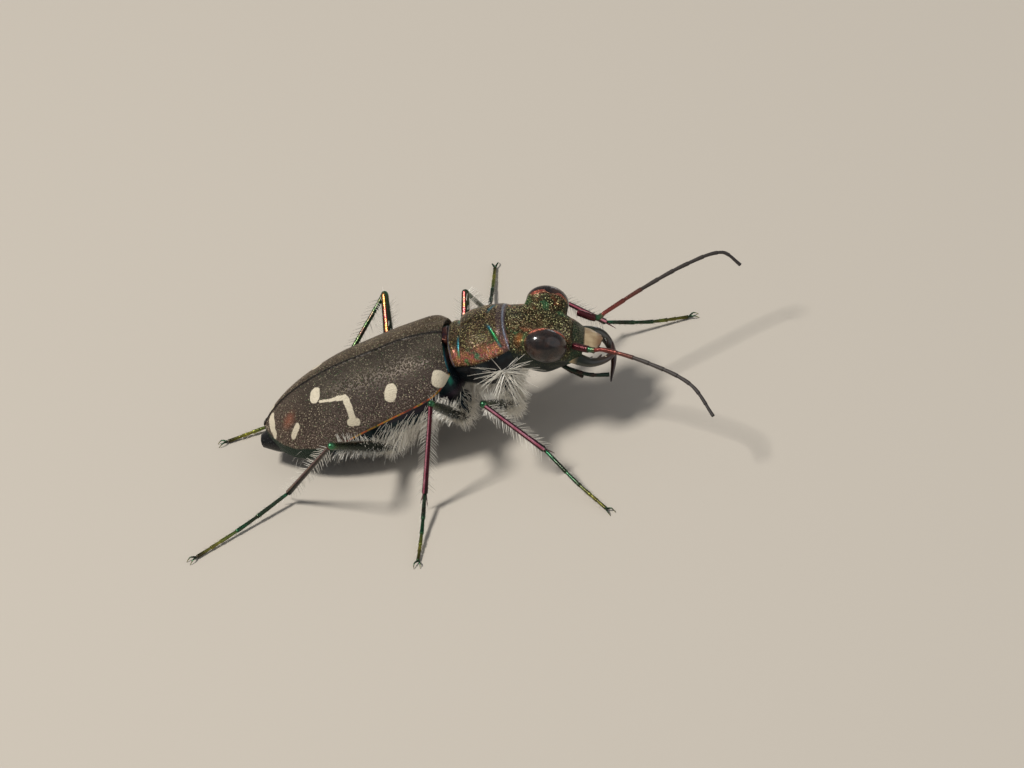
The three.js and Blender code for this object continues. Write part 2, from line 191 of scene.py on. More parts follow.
class Line:
    """A smooth line through points, with places, directions and a side that doesn't twist."""

    def __init__(self, points, steps=64):
        pts = [Vector(p) for p in points]
        if len(pts) == 2:
            self.at = [pts[0].lerp(pts[1], i / steps) for i in range(steps + 1)]
        else:
            chord = [0.0]
            for a, b in zip(pts, pts[1:]):
                chord.append(chord[-1] + (b - a).length)
            axes = [through(list(zip(chord, (p[k] for p in pts)))) for k in range(3)]
            marks = [chord[-1] * i / steps for i in range(steps + 1)]
            self.at = [Vector([axis(m) for axis in axes]) for m in marks]

    def point(self, t):
        place = min(max(t, 0), 1) * (len(self.at) - 1)
        i = min(int(place), len(self.at) - 2)
        return self.at[i].lerp(self.at[i + 1], place - i)

    def along(self, t, reach=0.02):
        return (self.point(min(t + reach, 1)) - self.point(max(t - reach, 0))).normalized()

    def frame(self, t):
        ahead = self.along(t)
        side = ahead.cross(Vector((0, 0, 1)))
        side = side.normalized() if side.length > 0.1 else ahead.orthogonal().normalized()
        return ahead, side, ahead.cross(side)


def horn(line, radius, around=16, rings=16, flat=1.0, span=(0, 1)):
    """A limb along a part of a line: radius(t) is its half thickness, flat squeezes it."""
    def place(t, angle, out):
        run = crowded(t, 0.08)
        u = span[0] + (span[1] - span[0]) * run
        ahead, side, lift = line.frame(u)
        size = radius(run) * out
        return line.point(u) + side * math.cos(angle) * size + lift * math.sin(angle) * size * flat

    return ringed(around, rings, place)


def rounded(profile, end=0.12, least=0.05):
    """A radius rule that closes in a round dome at both ends."""
    def radius(t):
        near = min(t, 1 - t) / end
        dome = math.sqrt(max(1 - (1 - min(near, 1)) ** 2, 0))
        return profile(t) * max(dome, least)

    return radius


def joined(forms):
    """Several forms in one: their meshes are added together, with their attributes."""
    whole = bmesh.new()
    for form in forms:
        spare = bpy.data.meshes.new("spare")
        form.to_mesh(spare)
        form.free()
        whole.from_mesh(spare)
        bpy.data.meshes.remove(spare)
    return whole


def piece(name, form, stand, finish, slot, nodes):
    """Sets a form in the row frame, in metres, and lets it stand for nodes of the frame."""
    bmesh.ops.recalc_face_normals(form, faces=form.faces)
    if form.calc_volume(signed=True) < 0:
        bmesh.ops.reverse_faces(form, faces=form.faces)
    for face in form.faces:
        face.smooth = True
    form.transform(Matrix.Scale(MM, 4) @ stand)
    mesh = bpy.data.meshes.new(name)
    form.to_mesh(mesh)
    form.free()
    mesh.materials.append(finish)
    made = bpy.data.objects.new(name, mesh)
    bpy.context.scene.collection.objects.link(made)
    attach(made, "root")
    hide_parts(*nodes)
    print(name, len(mesh.polygons), "faces")
    return made


# %% [markdown]
# ## Finishes as expressions
# A beetle's metal is not paint: thin layers in its shell give back one colour each, and fine
# grains break the shine. `Wire` wraps a socket, so that a finish reads as arithmetic, and
# `Finish` holds one material and adds any node by its type, settings and inputs. Colours are
# given as red, green and blue on a screen, from 0 to 255. `paint` lays one colour over
# another, each with the mask that says where, so a finish is read from the ground up.

# %% Wires and finishes
class Wire:
    """One output of a node, which can be added to, multiplied and shaped."""

    def __init__(self, finish, node, out=0):
        self.finish, self.node, self.socket = finish, node, node.outputs[out]

    def also(self, out):
        return Wire(self.finish, self.node, out)

    def math(self, operation, *values):
        return self.finish.add("ShaderNodeMath", {"operation": operation}, dict(enumerate(values)))

    def __add__(self, other):
        return self.math("ADD", self, other)

    def __sub__(self, other):
        return self.math("SUBTRACT", self, other)

    def __mul__(self, other):
        return self.math("MULTIPLY", self, other)

    def __pow__(self, other):
        return self.math("POWER", self, other)

    def __radd__(self, other):
        return self.math("ADD", other, self)

    def __rsub__(self, other):
        return self.math("SUBTRACT", other, self)

    def __rmul__(self, other):
        return self.math("MULTIPLY", other, self)

    def least(self, other):
        return self.math("MINIMUM", self, other)

    def most(self, other):
        return self.math("MAXIMUM", self, other)

    def size(self):
        return self.math("ABSOLUTE", self)

    def step(self, low, high):
        """0 below low and 1 above high, with a smooth climb between; low may be the larger."""
        return self.finish.add(
            "ShaderNodeMapRange", {"interpolation_type": "SMOOTHSTEP"},
            {"Value": self, "From Min": low, "From Max": high})

    def near(self, middle, half):
        """1 at the middle, and smoothly down to 0 at the distance half from it."""
        return (self - middle).size().step(half, 0)


def tone(red, green, blue):
    """A screen colour as the linear one that shaders use."""
    def linear(c):
        c /= 255
        return c / 12.92 if c <= 0.04045 else ((c + 0.055) / 1.055) ** 2.4

    return (linear(red), linear(green), linear(blue), 1)


class Finish:
    """One material: what is the same all over is set on its sockets straight away."""

    def __init__(self, name, **fixed):
        self.material = bpy.data.materials.new(name)
        self.material.use_nodes = True
        self.tree = self.material.node_tree
        self.shader = self.tree.nodes["Principled BSDF"]
        for socket, value in fixed.items():
            self.shader.inputs[socket.replace("_", " ")].default_value = value

    def add(self, kind, settings=None, inputs=None, out=0):
        node = self.tree.nodes.new(kind)
        for name, value in (settings or {}).items():
            if name == "stops":
                ramp = node.color_ramp
                while len(ramp.elements) < len(value):
                    ramp.elements.new(0.5)
                for element, (place, colour) in zip(ramp.elements, value):
                    element.position, element.color = place, colour
            else:
                setattr(node, name, value)
        for socket, value in (inputs or {}).items():
            if isinstance(value, Wire):
                self.tree.links.new(value.socket, node.inputs[socket])
            else:
                node.inputs[socket].default_value = value
        return Wire(self, node, out)

    def read(self, name):
        return self.add("ShaderNodeAttribute", {"attribute_name": name}, out="Vector")

    def parts(self, vector):
        x = self.add("ShaderNodeSeparateXYZ", {}, {0: vector})
        return x, x.also(1), x.also(2)

    def mix(self, mask, first, second):
        """The first colour where the mask is 0 and the second where it is 1."""
        first, second = (c if isinstance(c, Wire) else tone(*c) for c in (first, second))
        return self.add("ShaderNodeMix", {"data_type": "RGBA"},
                        {0: mask, 6: first, 7: second}, out=2)

    def noise(self, place, scale, detail=2.0):
        return self.add("ShaderNodeTexNoise", {},
                        {"Vector": place, "Scale": scale, "Detail": detail})

    def mottled(self, place, scale, first, second, low=0.4, high=0.6, detail=2.0):
        """Two colours in soft patches."""
        return self.mix(self.noise(place, scale, detail).step(low, high), first, second)

    def paint(self, ground, *coats):
        """Coats of colour over a ground, each a mask and a colour."""
        for mask, colour in coats:
            ground = self.mix(mask, ground, colour)
        return ground

    def hues(self, along, stops):
        """A ramp of colours along a value."""
        stops = [(place, tone(*colour)) for place, colour in stops]
        return self.add("ShaderNodeValToRGB", {"stops": stops}, {0: along})

    def cells(self, place, scale):
        """Grains: the distance to each one's middle, and a random value for each."""
        grain = self.add("ShaderNodeTexVoronoi", {}, {"Vector": place, "Scale": scale})
        chance = self.parts(grain.also("Color"))[0]
        return grain, chance

    def stretched(self, place, scale):
        return self.add(
            "ShaderNodeVectorMath", {"operation": "MULTIPLY"}, {0: place, 1: Vector(scale)})

    def feed(self, **wires):
        for socket, wire in wires.items():
            self.tree.links.new(wire.socket, self.shader.inputs[socket.replace("_", " ")])
        return self

    def relief(self, height, depth):
        """A bump from a height between 0 and 1; depth is in thousandths of a millimetre."""
        bump = self.add("ShaderNodeBump", {},
                        {"Height": height, "Distance": depth * MM * MM, "Strength": 1.0})
        return self.feed(Normal=bump)


print("tools ready")

# %% [markdown]
# ## Wing cases
# The two elytra are hard, slightly arched shells that meet along the back. From above they
# look dull brown; close up the surface is packed with grains, each with its own glint. The
# sheet starts as a grid, is bent over a measured section, and then gets its thickness,
# because a grid can be folded in at its rim, which a ball cut in half can't.
# The attribute `lie` keeps the way from the suture, so that the cream marks follow the shell.

# %% Elytra: shape
ELYTRA = {
    "wide": [(0.42, 1.5), (0.1, 1.87), (-0.4, 2.02), (-2, 2.12), (-3.4, 2.09), (-4.7, 1.94),
             (-5.7, 1.67), (-6.5, 1.26), (-7.05, 0.76), (-7.36, 0.26)],
    "top": [(0.42, -0.05), (-0.1, 0.1), (-1, 0.21), (-2.5, 0.12), (-3.9, 0.02), (-5.06, -0.22),
            (-6, -0.54), (-6.8, -0.98), (-7.36, -1.45)],
    "waist": [(0.42, -0.9), (-0.5, -1.28), (-2.3, -1.55), (-3.9, -1.87), (-5.3, -2.34),
              (-6.3, -2.42), (-7.36, -2.1)],
}
FRONT, TIP = 0.42, -7.36
SHELL = 0.1          # the thickness
RIM = 0.92           # the share of the section that lies above the folded rim
SUTURE_GAP = 0.01
ALONG, ACROSS = 170, 90
elytron_wide, elytron_top, elytron_waist = (through(ELYTRA[k]) for k in ("wide", "top", "waist"))


def elytron_point(t, a):
    """t runs from the front edge to the tip, a from the suture to the folded rim."""
    x = FRONT + (TIP - FRONT) * crowded(t, 0.1)
    angle = math.pi / 2 * (1 - min(a / RIM, 1))
    wide, rise = elytron_wide(x), elytron_top(x) - elytron_waist(x)
    y = math.cos(angle) * wide
    z = elytron_waist(x) + math.sin(angle) * rise
    fold = max(a - RIM, 0) / (1 - RIM)
    y -= 0.2 * fold ** 1.5 * min(wide, 1)                   # the rim turns in
    z -= 0.12 * math.sin(fold * math.pi * 0.6)              # and down
    z += 0.06 * hill(x, -0.15, 0.5) * hill(y, 1.4, 0.35)    # the shoulder
    z -= 0.05 * hill(y, 0.85, 0.25) * hill(x, 0.1, 0.35)    # the hollow beside it
    z -= 0.03 * hill(y, 0.13, 0.09) * smooth(0.2, -0.4, x)  # the furrow along the suture
    z += 0.025 * hill(y, 0.0, 0.06)                         # the raised suture
    return Vector((x, max(y, SUTURE_GAP), z))


def elytron(side):
    form = bmesh.new()
    bmesh.ops.create_grid(form, x_segments=ALONG, y_segments=ACROSS, size=1)
    own = form.verts.layers.float_vector.new("own")
    lie = form.verts.layers.float_vector.new("lie")
    columns = {}
    for v in form.verts:
        columns.setdefault(round(v.co.x, 5), []).append(v)
    for column, verts in columns.items():
        verts.sort(key=lambda v: v.co.y)
        run, before = 0, None
        for v in verts:
            spot = elytron_point((column + 1) / 2, (v.co.y + 1) / 2)
            run += (spot - before).length if before else spot.y
            before = spot
            v[lie] = (spot.x, run, 0)
            v.co = (spot.x, spot.y * SIDES[side], spot.z)
            v[own] = v.co
        for v in verts:
            v[lie] = (v[lie].x, v[lie].y, run - v[lie].y)
    form.normal_update()
    crown = max(form.faces, key=lambda face: face.calc_center_median().z)
    if crown.normal.z < 0:
        bmesh.ops.reverse_faces(form, faces=form.faces)
    bmesh.ops.solidify(form, geom=form.faces[:], thickness=SHELL)
    return form


# %% [markdown]
# ## The cream marks
# Each mark is a stroke from one place to another on the opened-out shell: x along the body,
# s away from the suture. The nearest stroke decides, and a little noise roughens the edge.
# A painted image would do it too, but strokes need no file and stay sharp at any size.

# %% Elytra: finish
MARKS = [             # where a stroke starts and stops, and its half width
    ((0.14, 1.98), (0.04, 2.2), 0.25), ((-1.76, 1.98), (-1.86, 2.16), 0.235),
    ((-3.66, 2.5), (-3.44, 2.58), 0.15), ((-3.54, 2.45), (-3.52, 2.0), 0.125),
    ((-3.52, 2.0), (-3.56, 1.66), 0.13), ((-3.6, 1.56), (-3.86, 1.48), 0.1),
    ((-3.86, 1.48), (-4.2, 1.4), 0.065), ((-4.2, 1.4), (-4.6, 1.24), 0.045),
    ((-4.74, 0.82), (-4.78, 0.98), 0.215), ((-5.84, 1.5), (-6.1, 1.65), 0.13),
    ((-6.88, 0.28), (-6.92, 0.62), 0.16), ((-6.92, 0.62), (-6.93, 0.94), 0.11),
]


def stroke(x, s, start, stop, half):
    """How far a place lies outside a stroke."""
    dx, ds = stop[0] - start[0], stop[1] - start[1]
    way = ((x - start[0]) * dx + (s - start[1]) * ds) * (1 / (dx * dx + ds * ds))
    way = way.most(0).least(1)
    ax = x - start[0] - way * dx
    bs = s - start[1] - way * ds
    return (ax * ax + bs * bs) ** 0.5 - half


def elytron_finish():
    shell = Finish("elytron_bronze")
    own = shell.read("own")
    own_y = shell.parts(own)[1]
    x, s, edge = shell.parts(shell.read("lie"))
    off = None
    for start, stop, half in MARKS:
        away = stroke(x, s, start, stop, half)
        off = off.least(away) if off else away
    ragged = (shell.noise(own, 9) - 0.5) * 0.06
    mark = (off + ragged).step(0.02, -0.02)

    grain, chance = shell.cells(own, 17)
    dome = grain.step(0.62, 0.05)
    glint = shell.noise(shell.stretched(own, (2.2, 0.6, 0.6)), 1.6, 3)
    rim_tone = shell.hues(glint, [
        (0.32, (52, 92, 58)), (0.42, (206, 164, 72)), (0.52, (216, 112, 66)),
        (0.6, (150, 60, 60)), (0.68, (90, 74, 58))])
    rear = x.step(-4.3, -5.9)
    rim = edge.step(0.31, 0.28) * (1 - rear)
    tucked = (edge - rear * 0.4 - shell.noise(own, 2) * rear * 0.16).step(0.26, 0.17)
    cream = shell.mix(shell.noise(own, 5) * 0.5, (214, 203, 180), (196, 184, 156))
    colour = shell.paint(
        shell.mottled(own, 0.8, (80, 71, 60), (102, 92, 78), 0.35, 0.65),
        (s.step(1.0, 2.6) * 0.6, (126, 108, 102)),                # the slope to the rim
        (x.step(-4.2, -6.8) * 0.5, (128, 104, 90)),               # towards the tip
        (own_y.step(-0.1, 0.5) * 0.3, (150, 120, 78)),            # painted sheen: the left case lighter and more golden
        (chance.step(0.78, 0.92) * dome * 0.85, (228, 214, 182)),  # painted glints on a few grains
        (chance.step(0.16, 0.06) * dome * 0.65, (112, 146, 100)),  # and a few green ones
        (dome.step(0.3, 0.0) * 0.6, (34, 27, 24)),                # painted shade in the hollows between grains
        (x.near(-6.1, 0.45) * s.near(1.06, 0.35) * 0.55, (178, 110, 84)),  # a copper gleam
        (s.step(0.11, 0.05) * 0.9, (20, 16, 13)),                 # the suture
        (rim, rim_tone), (tucked, (24, 44, 32)), (mark, cream))
    shell.feed(Base_Color=colour, Metallic=(1 - mark) * 0.6, Roughness=0.46 + mark * 0.06)
    return shell.relief(dome * (1 - mark * 0.6) * (1 - rim), 35).material


elytron_bronze = elytron_finish()
for side in SIDES:
    piece(f"wing_case_{side}", elytron(side), TRUNK, elytron_bronze, "elytron",
          [f"elytron_{side}"])

# %% [markdown]
# ## Prothorax
# The part behind the head is one ring of shell. Two deep grooves cross its back, and the
# colour changes with the height of the surface: copper and green grains above, bright metal
# on the flank, blue-black below. A ring could be spun, but its section isn't round, so a ball
# is pushed out to measured widths and heights.

# %% Prothorax
PROTHORAX = {
    "wide": [(0.54, 1.12), (0.88, 1.25), (1.2, 1.36), (1.75, 1.42), (2.3, 1.37), (2.6, 1.28),
             (2.88, 1.16)],
    "top": [(0.54, -0.28), (0.7, -0.16), (0.9, -0.2), (1.2, -0.06), (1.6, 0.0), (2.15, -0.03),
            (2.5, -0.08), (2.72, -0.1), (2.88, -0.2)],
    "waist": [(0.54, -1.0), (2.88, -1.05)],
    "bottom": [(0.54, -2.2), (1.2, -2.55), (1.9, -2.7), (2.5, -2.5), (2.88, -2.1)],
}
NOTUM_EDGE = -0.93


def rear_groove(x, side):
    """How far a place lies from the rear groove; wires go through it as numbers do."""
    return x + side * 0.16 - 1.1


def front_groove(x, side):
    return x - side * 0.4 - 2.07


def chest(point):
    x, y, z = point
    side = abs(y)
    upper = smooth(-1.0, -0.55, z)
    grooves = max(hill(rear_groove(x, side), 0, 0.06), hill(front_groove(x, side), 0, 0.06))
    z -= 0.07 * grooves * upper
    y -= math.copysign(0.06 * grooves * upper, y)
    z -= 0.05 * hill(y, 0, 0.05) * upper * smooth(1.0, 1.25, x) * smooth(2.3, 2.1, x)
    y -= math.copysign(0.07 * hill(z, NOTUM_EDGE - 0.05, 0.04), y)
    y -= math.copysign(0.05 * hill(x, 1.35 - 0.3 * (z + 1.8), 0.05) * smooth(-1.1, -1.3, z), y)
    y += math.copysign(0.05 * hill(x, 1.65, 0.5) * hill(z, -0.6, 0.3), y)
    return Vector((x, y, z))


def prothorax_finish():
    ring = Finish("thorax_bronze")
    own = ring.read("own")
    x, y, z = ring.parts(own)
    side = y.size()
    grain, chance = ring.cells(own, 18)
    dome = grain.step(0.62, 0.08)
    flank = ring.hues(ring.noise(own, 2.3, 3), [
        (0.34, (130, 180, 110)), (0.42, (244, 130, 130)), (0.5, (250, 186, 120)),
        (0.57, (232, 120, 120)), (0.66, (110, 160, 120))])
    groove = rear_groove(x, side).near(0, 0.09).most(front_groove(x, side).near(0, 0.1))
    wet = ring.mottled(own, 2.4, (40, 150, 92), (48, 132, 150))
    # A painted highlight along the front and rear edges of the ring.
    edge_highlight = x.near(2.8, 0.06).most(x.near(0.6, 0.05))
    dark = ring.mottled(own, 2, (16, 20, 26), (22, 34, 40))
    colour = ring.paint(
        ring.mottled(own, 1.6, (112, 98, 66), (140, 114, 84), 0.38, 0.62),
        (chance.step(0.66, 0.76) * dome * 0.95, (250, 240, 168)),  # painted glints on pale grains
        (chance.step(0.16, 0.08) * dome * 0.6, (176, 104, 84)),    # copper grains
        (dome.step(0.45, 0) * 0.85, (20, 20, 14)),                 # painted shade in the hollows between them
        (z.near(-0.62, 0.36) * (0.5 + dome * 0.5), flank),
        (x.step(2.5, 2.62) * 0.6, (104, 86, 88)),                  # the front band
        (groove * side.step(0.25, 0.6) * z.step(-0.75, -0.55) * 0.9, wet),
        # the painted highlight on the edges
        (edge_highlight * 0.8, (150, 158, 176)),
        (z.step(NOTUM_EDGE + 0.03, NOTUM_EDGE - 0.06), dark))
    upper = z.step(-1.0, -0.9)
    wrinkle = ring.noise(ring.stretched(own, (1, 5, 2)), 3, 3)
    ring.feed(Base_Color=colour, Roughness=0.3 + dome * 0.12, Metallic=0.55 + upper * 0.25)
    return ring.relief(dome * (1 - groove) * upper + wrinkle * 0.5, 35).material


thorax_bronze = prothorax_finish()
prothorax_form = hull(PROTHORAX, around=120, rings=90, square=2.3, sculpt=chest)
prothorax = piece("prothorax_ring", prothorax_form, TRUNK, thorax_bronze, "thorax_bronze",
                  ["pronotum", "prothorax"])

# %% [markdown]
# ## Scutellum
# A small three-cornered shield lies between the roots of the wing cases. It could be cut out
# of a block, but a circle of three corners is already its outline, so it is extruded down,
# and the edges that show are bevelled.

# %% Scutellum
SHIELD_CORNERS = ((0, 0, 0.01), (0.56, -0.46, -0.14), (0.56, 0.46, -0.14))


def scutellum():
    form = bmesh.new()
    bmesh.ops.create_circle(form, cap_ends=True, segments=3, radius=1)
    for v, corner in zip(form.verts, SHIELD_CORNERS):
        v.co = corner
    grown = bmesh.ops.extrude_face_region(form, geom=form.faces[:])
    for v in (g for g in grown["geom"] if isinstance(g, bmesh.types.BMVert)):
        v.co.z -= 0.4
    bmesh.ops.recalc_face_normals(form, faces=form.faces)
    rim = [e for e in form.edges if sum(v.co.z for v in e.verts) > -0.35]
    bmesh.ops.bevel(form, geom=rim, offset=0.06, segments=3, profile=0.5, affect="EDGES",
                    material=-1)
    own = form.verts.layers.float_vector.new("own")
    for v in form.verts:
        v[own] = v.co
    return form


shield_finish = Finish("scutellum_violet", Roughness=0.32, Metallic=0.8)
shield_place = shield_finish.read("own")
shield_tone = shield_finish.mottled(shield_place, 4, (60, 40, 52), (96, 60, 48))
shield_finish.feed(Base_Color=shield_tone).relief(shield_finish.noise(shield_place, 14), 20)
piece("scutellum_shield", scutellum(), TRUNK, shield_finish.material, "thorax_bronze", ["scutellum"])

# %% [markdown]
# ## Underside
# Below the wing cases the middle and hind thorax and the abdomen form one keeled body in
# polished blue-black plates. The plates of the abdomen overlap like roof tiles, so each one
# ends in a small step. Six rings could be stacked; one hull with steps is chosen, because it
# stays closed and its plates can't gape.

# %% Thorax and abdomen
HIND_BODY = {
    "wide": [(0.56, 1.0), (0.36, 1.42), (0.1, 1.56), (-1, 1.78), (-2.6, 1.9), (-4.5, 1.78),
             (-5.5, 1.54), (-6.5, 1.12), (-7.2, 0.7), (-7.75, 0.3)],
    "top": [(0.56, -0.5), (0.36, -0.34), (-0.1, -0.36), (-0.6, -0.5), (-1.6, -0.5), (-3.9, -0.62),
            (-5.06, -0.9), (-6, -1.26), (-6.9, -1.72), (-7.75, -1.98)],
    "waist": [(0.56, -1.4), (-2, -2.0), (-5, -2.4), (-7.75, -2.16)],
    "bottom": [(0.56, -2.1), (0, -2.6), (-0.6, -2.85), (-2.4, -3.0), (-4.5, -3.0), (-6, -2.85),
               (-7, -2.6), (-7.75, -2.34)],
}
STERNITES = (-2.45, -3.5, -4.4, -5.25, -6.05, -6.8)     # where each plate of the belly starts


def belly(point):
    x, y, z = point
    low = smooth(-1.3, -1.9, z)
    for start in STERNITES:
        gone = start - x
        if 0 <= gone < 1:
            z += 0.05 * low * math.exp(-gone * 6)
            y *= 1 - 0.025 * low * math.exp(-gone * 6)
    for seam, tilt in ((-0.75, 0.35), (-1.5, 0.2)):
        z += 0.06 * low * hill(x - tilt * (z + 2), seam, 0.05)
    z += 0.05 * low * hill(y, 0, 0.05) * smooth(-2.6, -2.2, x)
    return Vector((x, y, z))


def underside_finish(name, shining):
    plate = Finish(name, Roughness=0.28, Metallic=0.7)
    own = plate.read("own")
    x, _, z = plate.parts(own)
    colour = plate.mottled(own, 1.3, (20, 26, 36), (24, 46, 52), 0.35, 0.65)
    if shining:
        teal = plate.mottled(own, 2.5, (40, 130, 112), (52, 118, 150))
        colour = plate.paint(
            colour,
            (z.near(-1.75, 0.25) * 0.5, (60, 40, 58)),         # violet along the flank
            (x.step(-5.6, -7.4) * 0.8, (40, 38, 36)),          # brown towards the tip
            (x.near(0.3, 0.12) * z.step(-1.45, -1.25), teal))  # the shoulder
    pits, _ = plate.cells(own, 10)
    plate.feed(Base_Color=colour)
    return plate.relief(pits.step(0.0, 0.35) + plate.noise(own, 6) * 0.6, 20).material


under_blue = underside_finish("under_blue", True)
coxa_blue = underside_finish("coxa_blue", False)
hind_form = hull(HIND_BODY, around=110, rings=130, square=2.4, sculpt=belly)
underbody = piece("underbody", hind_form, TRUNK, under_blue, "under_blue",
                  ["pterothorax", "abdomen"])

# %% [markdown]
# ## Head
# The head is wider than the chest because of its eyes. Its capsule slopes to a broad face
# plate, rises in a ridge along each eye, and carries fine lines beside them. It is a hull as
# the chest is. The ridges could be pieces of their own, but each follows the eye's ball a
# little larger, so the head is lifted to that ball and no seam shows.

# %% Head capsule
HEAD_FORM = {
    "wide": [(-0.35, 0.95), (0.3, 1.2), (0.9, 1.26), (1.5, 1.24), (2.1, 1.14), (2.6, 0.98),
             (2.92, 0.82)],
    "top": [(-0.35, 0.03), (0.45, 0.12), (1.5, 0.13), (2.3, 0.1), (2.6, 0.02), (2.92, -0.1)],
    "waist": [(-0.35, -0.6), (2.92, -0.4)],
    "bottom": [(-0.35, -1.3), (0.6, -1.58), (1.3, -1.7), (1.9, -1.68), (2.35, -1.3), (2.92, -0.82)],
}
EYE_PLACE = Vector((1.46, 1.27, 0.08))
EYE_SIZE = Vector((0.79, 0.58, 0.64))
LID = 0.035          # how far the eyelid ridge of the head stands over the eye
LID_TOP = 0.68       # the ridge is cut level at this height
NO_LID = -9          # a height below the whole head, for places beside the lid


def lid_height(x, side):
    """The head over each eye's inner half: the eye's own ball, a little larger."""
    along = (x - EYE_PLACE.x) / (EYE_SIZE.x + LID)
    across = min(side - EYE_PLACE.y, 0) / (EYE_SIZE.y + LID)
    left = 1 - along * along - across * across
    return EYE_PLACE.z + (EYE_SIZE.z + LID) * math.sqrt(left) if left > 0 else NO_LID


def face_relief(point):
    x, y, z = point
    upper = smooth(-0.45, -0.1, z)
    side = abs(y)
    z += upper * 0.3 * hill(x, 1.45, 0.7) * smooth(0.25, 0.8, side)
    z -= upper * 0.06 * hill(x, 1.5, 0.6) * hill(side, 0, 0.3)
    lid = min(lid_height(x, side), LID_TOP)
    if upper > 0.6 and lid > z:
        z = lid
    z -= 0.07 * upper * hill(x, 2.45, 0.06) * smooth(0.85, 0.5, side)
    z -= 0.14 * upper * hill(x, 2.3, 0.13) * hill(side, 0.8, 0.13)
    z += 0.04 * upper * hill(x, 2.68, 0.14) * hill(side, 0, 0.5)
    y -= math.copysign(0.06 * hill(z, -0.72, 0.05) * smooth(0.2, 1.0, x), y)
    return Vector((x, y, z))


def head_finish():
    skin = Finish("head_green")
    own = skin.read("own")
    x, y, z = skin.parts(own)
    side = y.size()
    grain, chance = skin.cells(own, 18)
    dome = grain.step(0.62, 0.08)
    beside = side.near(0.75, 0.3) * z.step(-0.3, 0.0)
    patch = skin.noise(own, 2.1, 3)
    temple = x.near(0.55, 0.3) * side.near(1.0, 0.25) * z.step(-0.5, -0.2)
    low = z.step(-0.35, -0.65)
    colour = skin.paint(
        skin.mottled(own, 1.3, (106, 102, 72), (134, 114, 80), 0.36, 0.62),
        (chance.step(0.66, 0.76) * dome * 0.95, (244, 244, 176)),          # painted glints on pale grains
        (chance.step(0.16, 0.08) * dome * 0.6, (172, 108, 84)),            # copper grains
        (dome.step(0.45, 0) * 0.8, (20, 22, 15)),                          # painted shade in the hollows between the grains
        (beside * patch.step(0.53, 0.62) * 0.7, (190, 110, 78)),
        (beside * patch.step(0.44, 0.36) * 0.6, (78, 140, 96)),
        (side.near(1.14, 0.14) * z.step(0.3, 0.5) * 0.8, (206, 110, 92)),  # the lids
        (temple * 0.7, skin.mix(x.step(0.5, 0.7), (206, 128, 70), (70, 150, 96))),
        (low * 0.92, skin.mix(skin.noise(own, 2), (18, 40, 32), (26, 32, 36))),
        (x.step(2.4, 2.5) * 0.7, (44, 66, 52)))                            # the face plate
    lines = skin.add("ShaderNodeTexWave", {"bands_direction": "Y"},
                     {"Vector": own, "Scale": 6.5, "Distortion": 1.2, "Detail": 1.0})
    striae = lines * side.near(0.8, 0.3) * z.step(-0.4, 0.0) * x.step(1.2, 1.7)
    skin.feed(Base_Color=colour, Roughness=0.28 + dome * 0.14, Metallic=0.8 - low * 0.25)
    return skin.relief(dome * (1 - low) * 0.8 + striae * 0.9, 35).material


head_form = hull(HEAD_FORM, around=110, rings=90, square=2.4, sculpt=face_relief)
piece("head_capsule", head_form, HEAD, head_finish(), "head_green", ["head"])

# %% [markdown]
# ## Eyes
# Each eye is a glossy brown-black dome of very many small facets. The dome could be a cut
# ball, but a whole one, sunk in the head, leaves no edge to hide. The facets are too fine to
# model, so they are a bump, under a clear coat that gives the bright window of the sky.

# %% Eyes
eye_finish = Finish("eye_gloss", Roughness=0.3, Coat_Weight=0.7, Coat_Roughness=0.05,
                    Specular_IOR_Level=0.25)
eye_place = eye_finish.read("own")
eye_tone = eye_finish.mottled(eye_place, 2.2, (20, 14, 12), (62, 40, 30), 0.35, 0.7, 3)
facet, _ = eye_finish.cells(eye_place, 34)
eye_finish.feed(Base_Color=eye_tone).relief(facet.step(0.5, 0.1), 6)


def eye_form(side):
    centre = Vector((EYE_PLACE.x, EYE_PLACE.y * SIDES[side], EYE_PLACE.z))

    def place(t, angle, out):
        ring = math.sin(math.pi * t)
        aim = Vector((math.cos(angle) * ring, math.sin(angle) * ring, -math.cos(math.pi * t)))
        return centre + Vector([a * b for a, b in zip(aim, EYE_SIZE)])

    return ringed(64, 44, place)


for side in SIDES:
    piece(f"eye_dome_{side}", eye_form(side), HEAD, eye_finish.material, "eye", [f"eye_{side}"])

# %% [markdown]
# ## Lip
# The upper lip is a pale plate with blunt teeth along its front. It could be cut from a
# block, but a grid keeps even faces while a rule bends it and draws its front edge. Then it
# gets its thickness.

# %% Labrum
def labrum():
    """A plate bent over the front of the face: u runs forward, w from side to side."""
    form = bmesh.new()
    bmesh.ops.create_grid(form, x_segments=26, y_segments=40, size=1)
    own = form.verts.layers.float_vector.new("own")
    for v in form.verts:
        u, w = (v.co.x + 1) / 2, v.co.y
        front = 0.5 + 0.12 * math.cos(w * 2.2) + 0.05 * abs(math.cos(w * 7.5)) * (1 - w * w)
        x = 2.86 + u * (front + 0.08)
        y = w * (0.66 - 0.1 * u * u)
        v.co = (x, y, -0.13 - 0.1 * w * w + 0.1 * u - 0.12 * u ** 3 * w * w)
    bmesh.ops.solidify(form, geom=form.faces[:], thickness=0.12)
    for v in form.verts:
        v[own] = v.co
    return form


cream_finish = Finish("labrum_cream", Roughness=0.38)
cream_place = cream_finish.read("own")
cream_x = cream_finish.parts(cream_place)[0]
# The cream is painted dark, as painted shade: the lip sits in shade under the face.
shaded_cream_tone = cream_finish.mottled(cream_place, 3, (176, 156, 124), (146, 124, 94), 0.3, 0.7)
shaded_cream_tone = cream_finish.mix(cream_x.step(3.3, 3.5) * 0.7, shaded_cream_tone, (96, 62, 40))
cream_finish.feed(Base_Color=shaded_cream_tone).relief(cream_finish.noise(cream_place, 8), 10)
piece("upper_lip", labrum(), HEAD, cream_finish.material, "labrum_cream", ["labrum"])

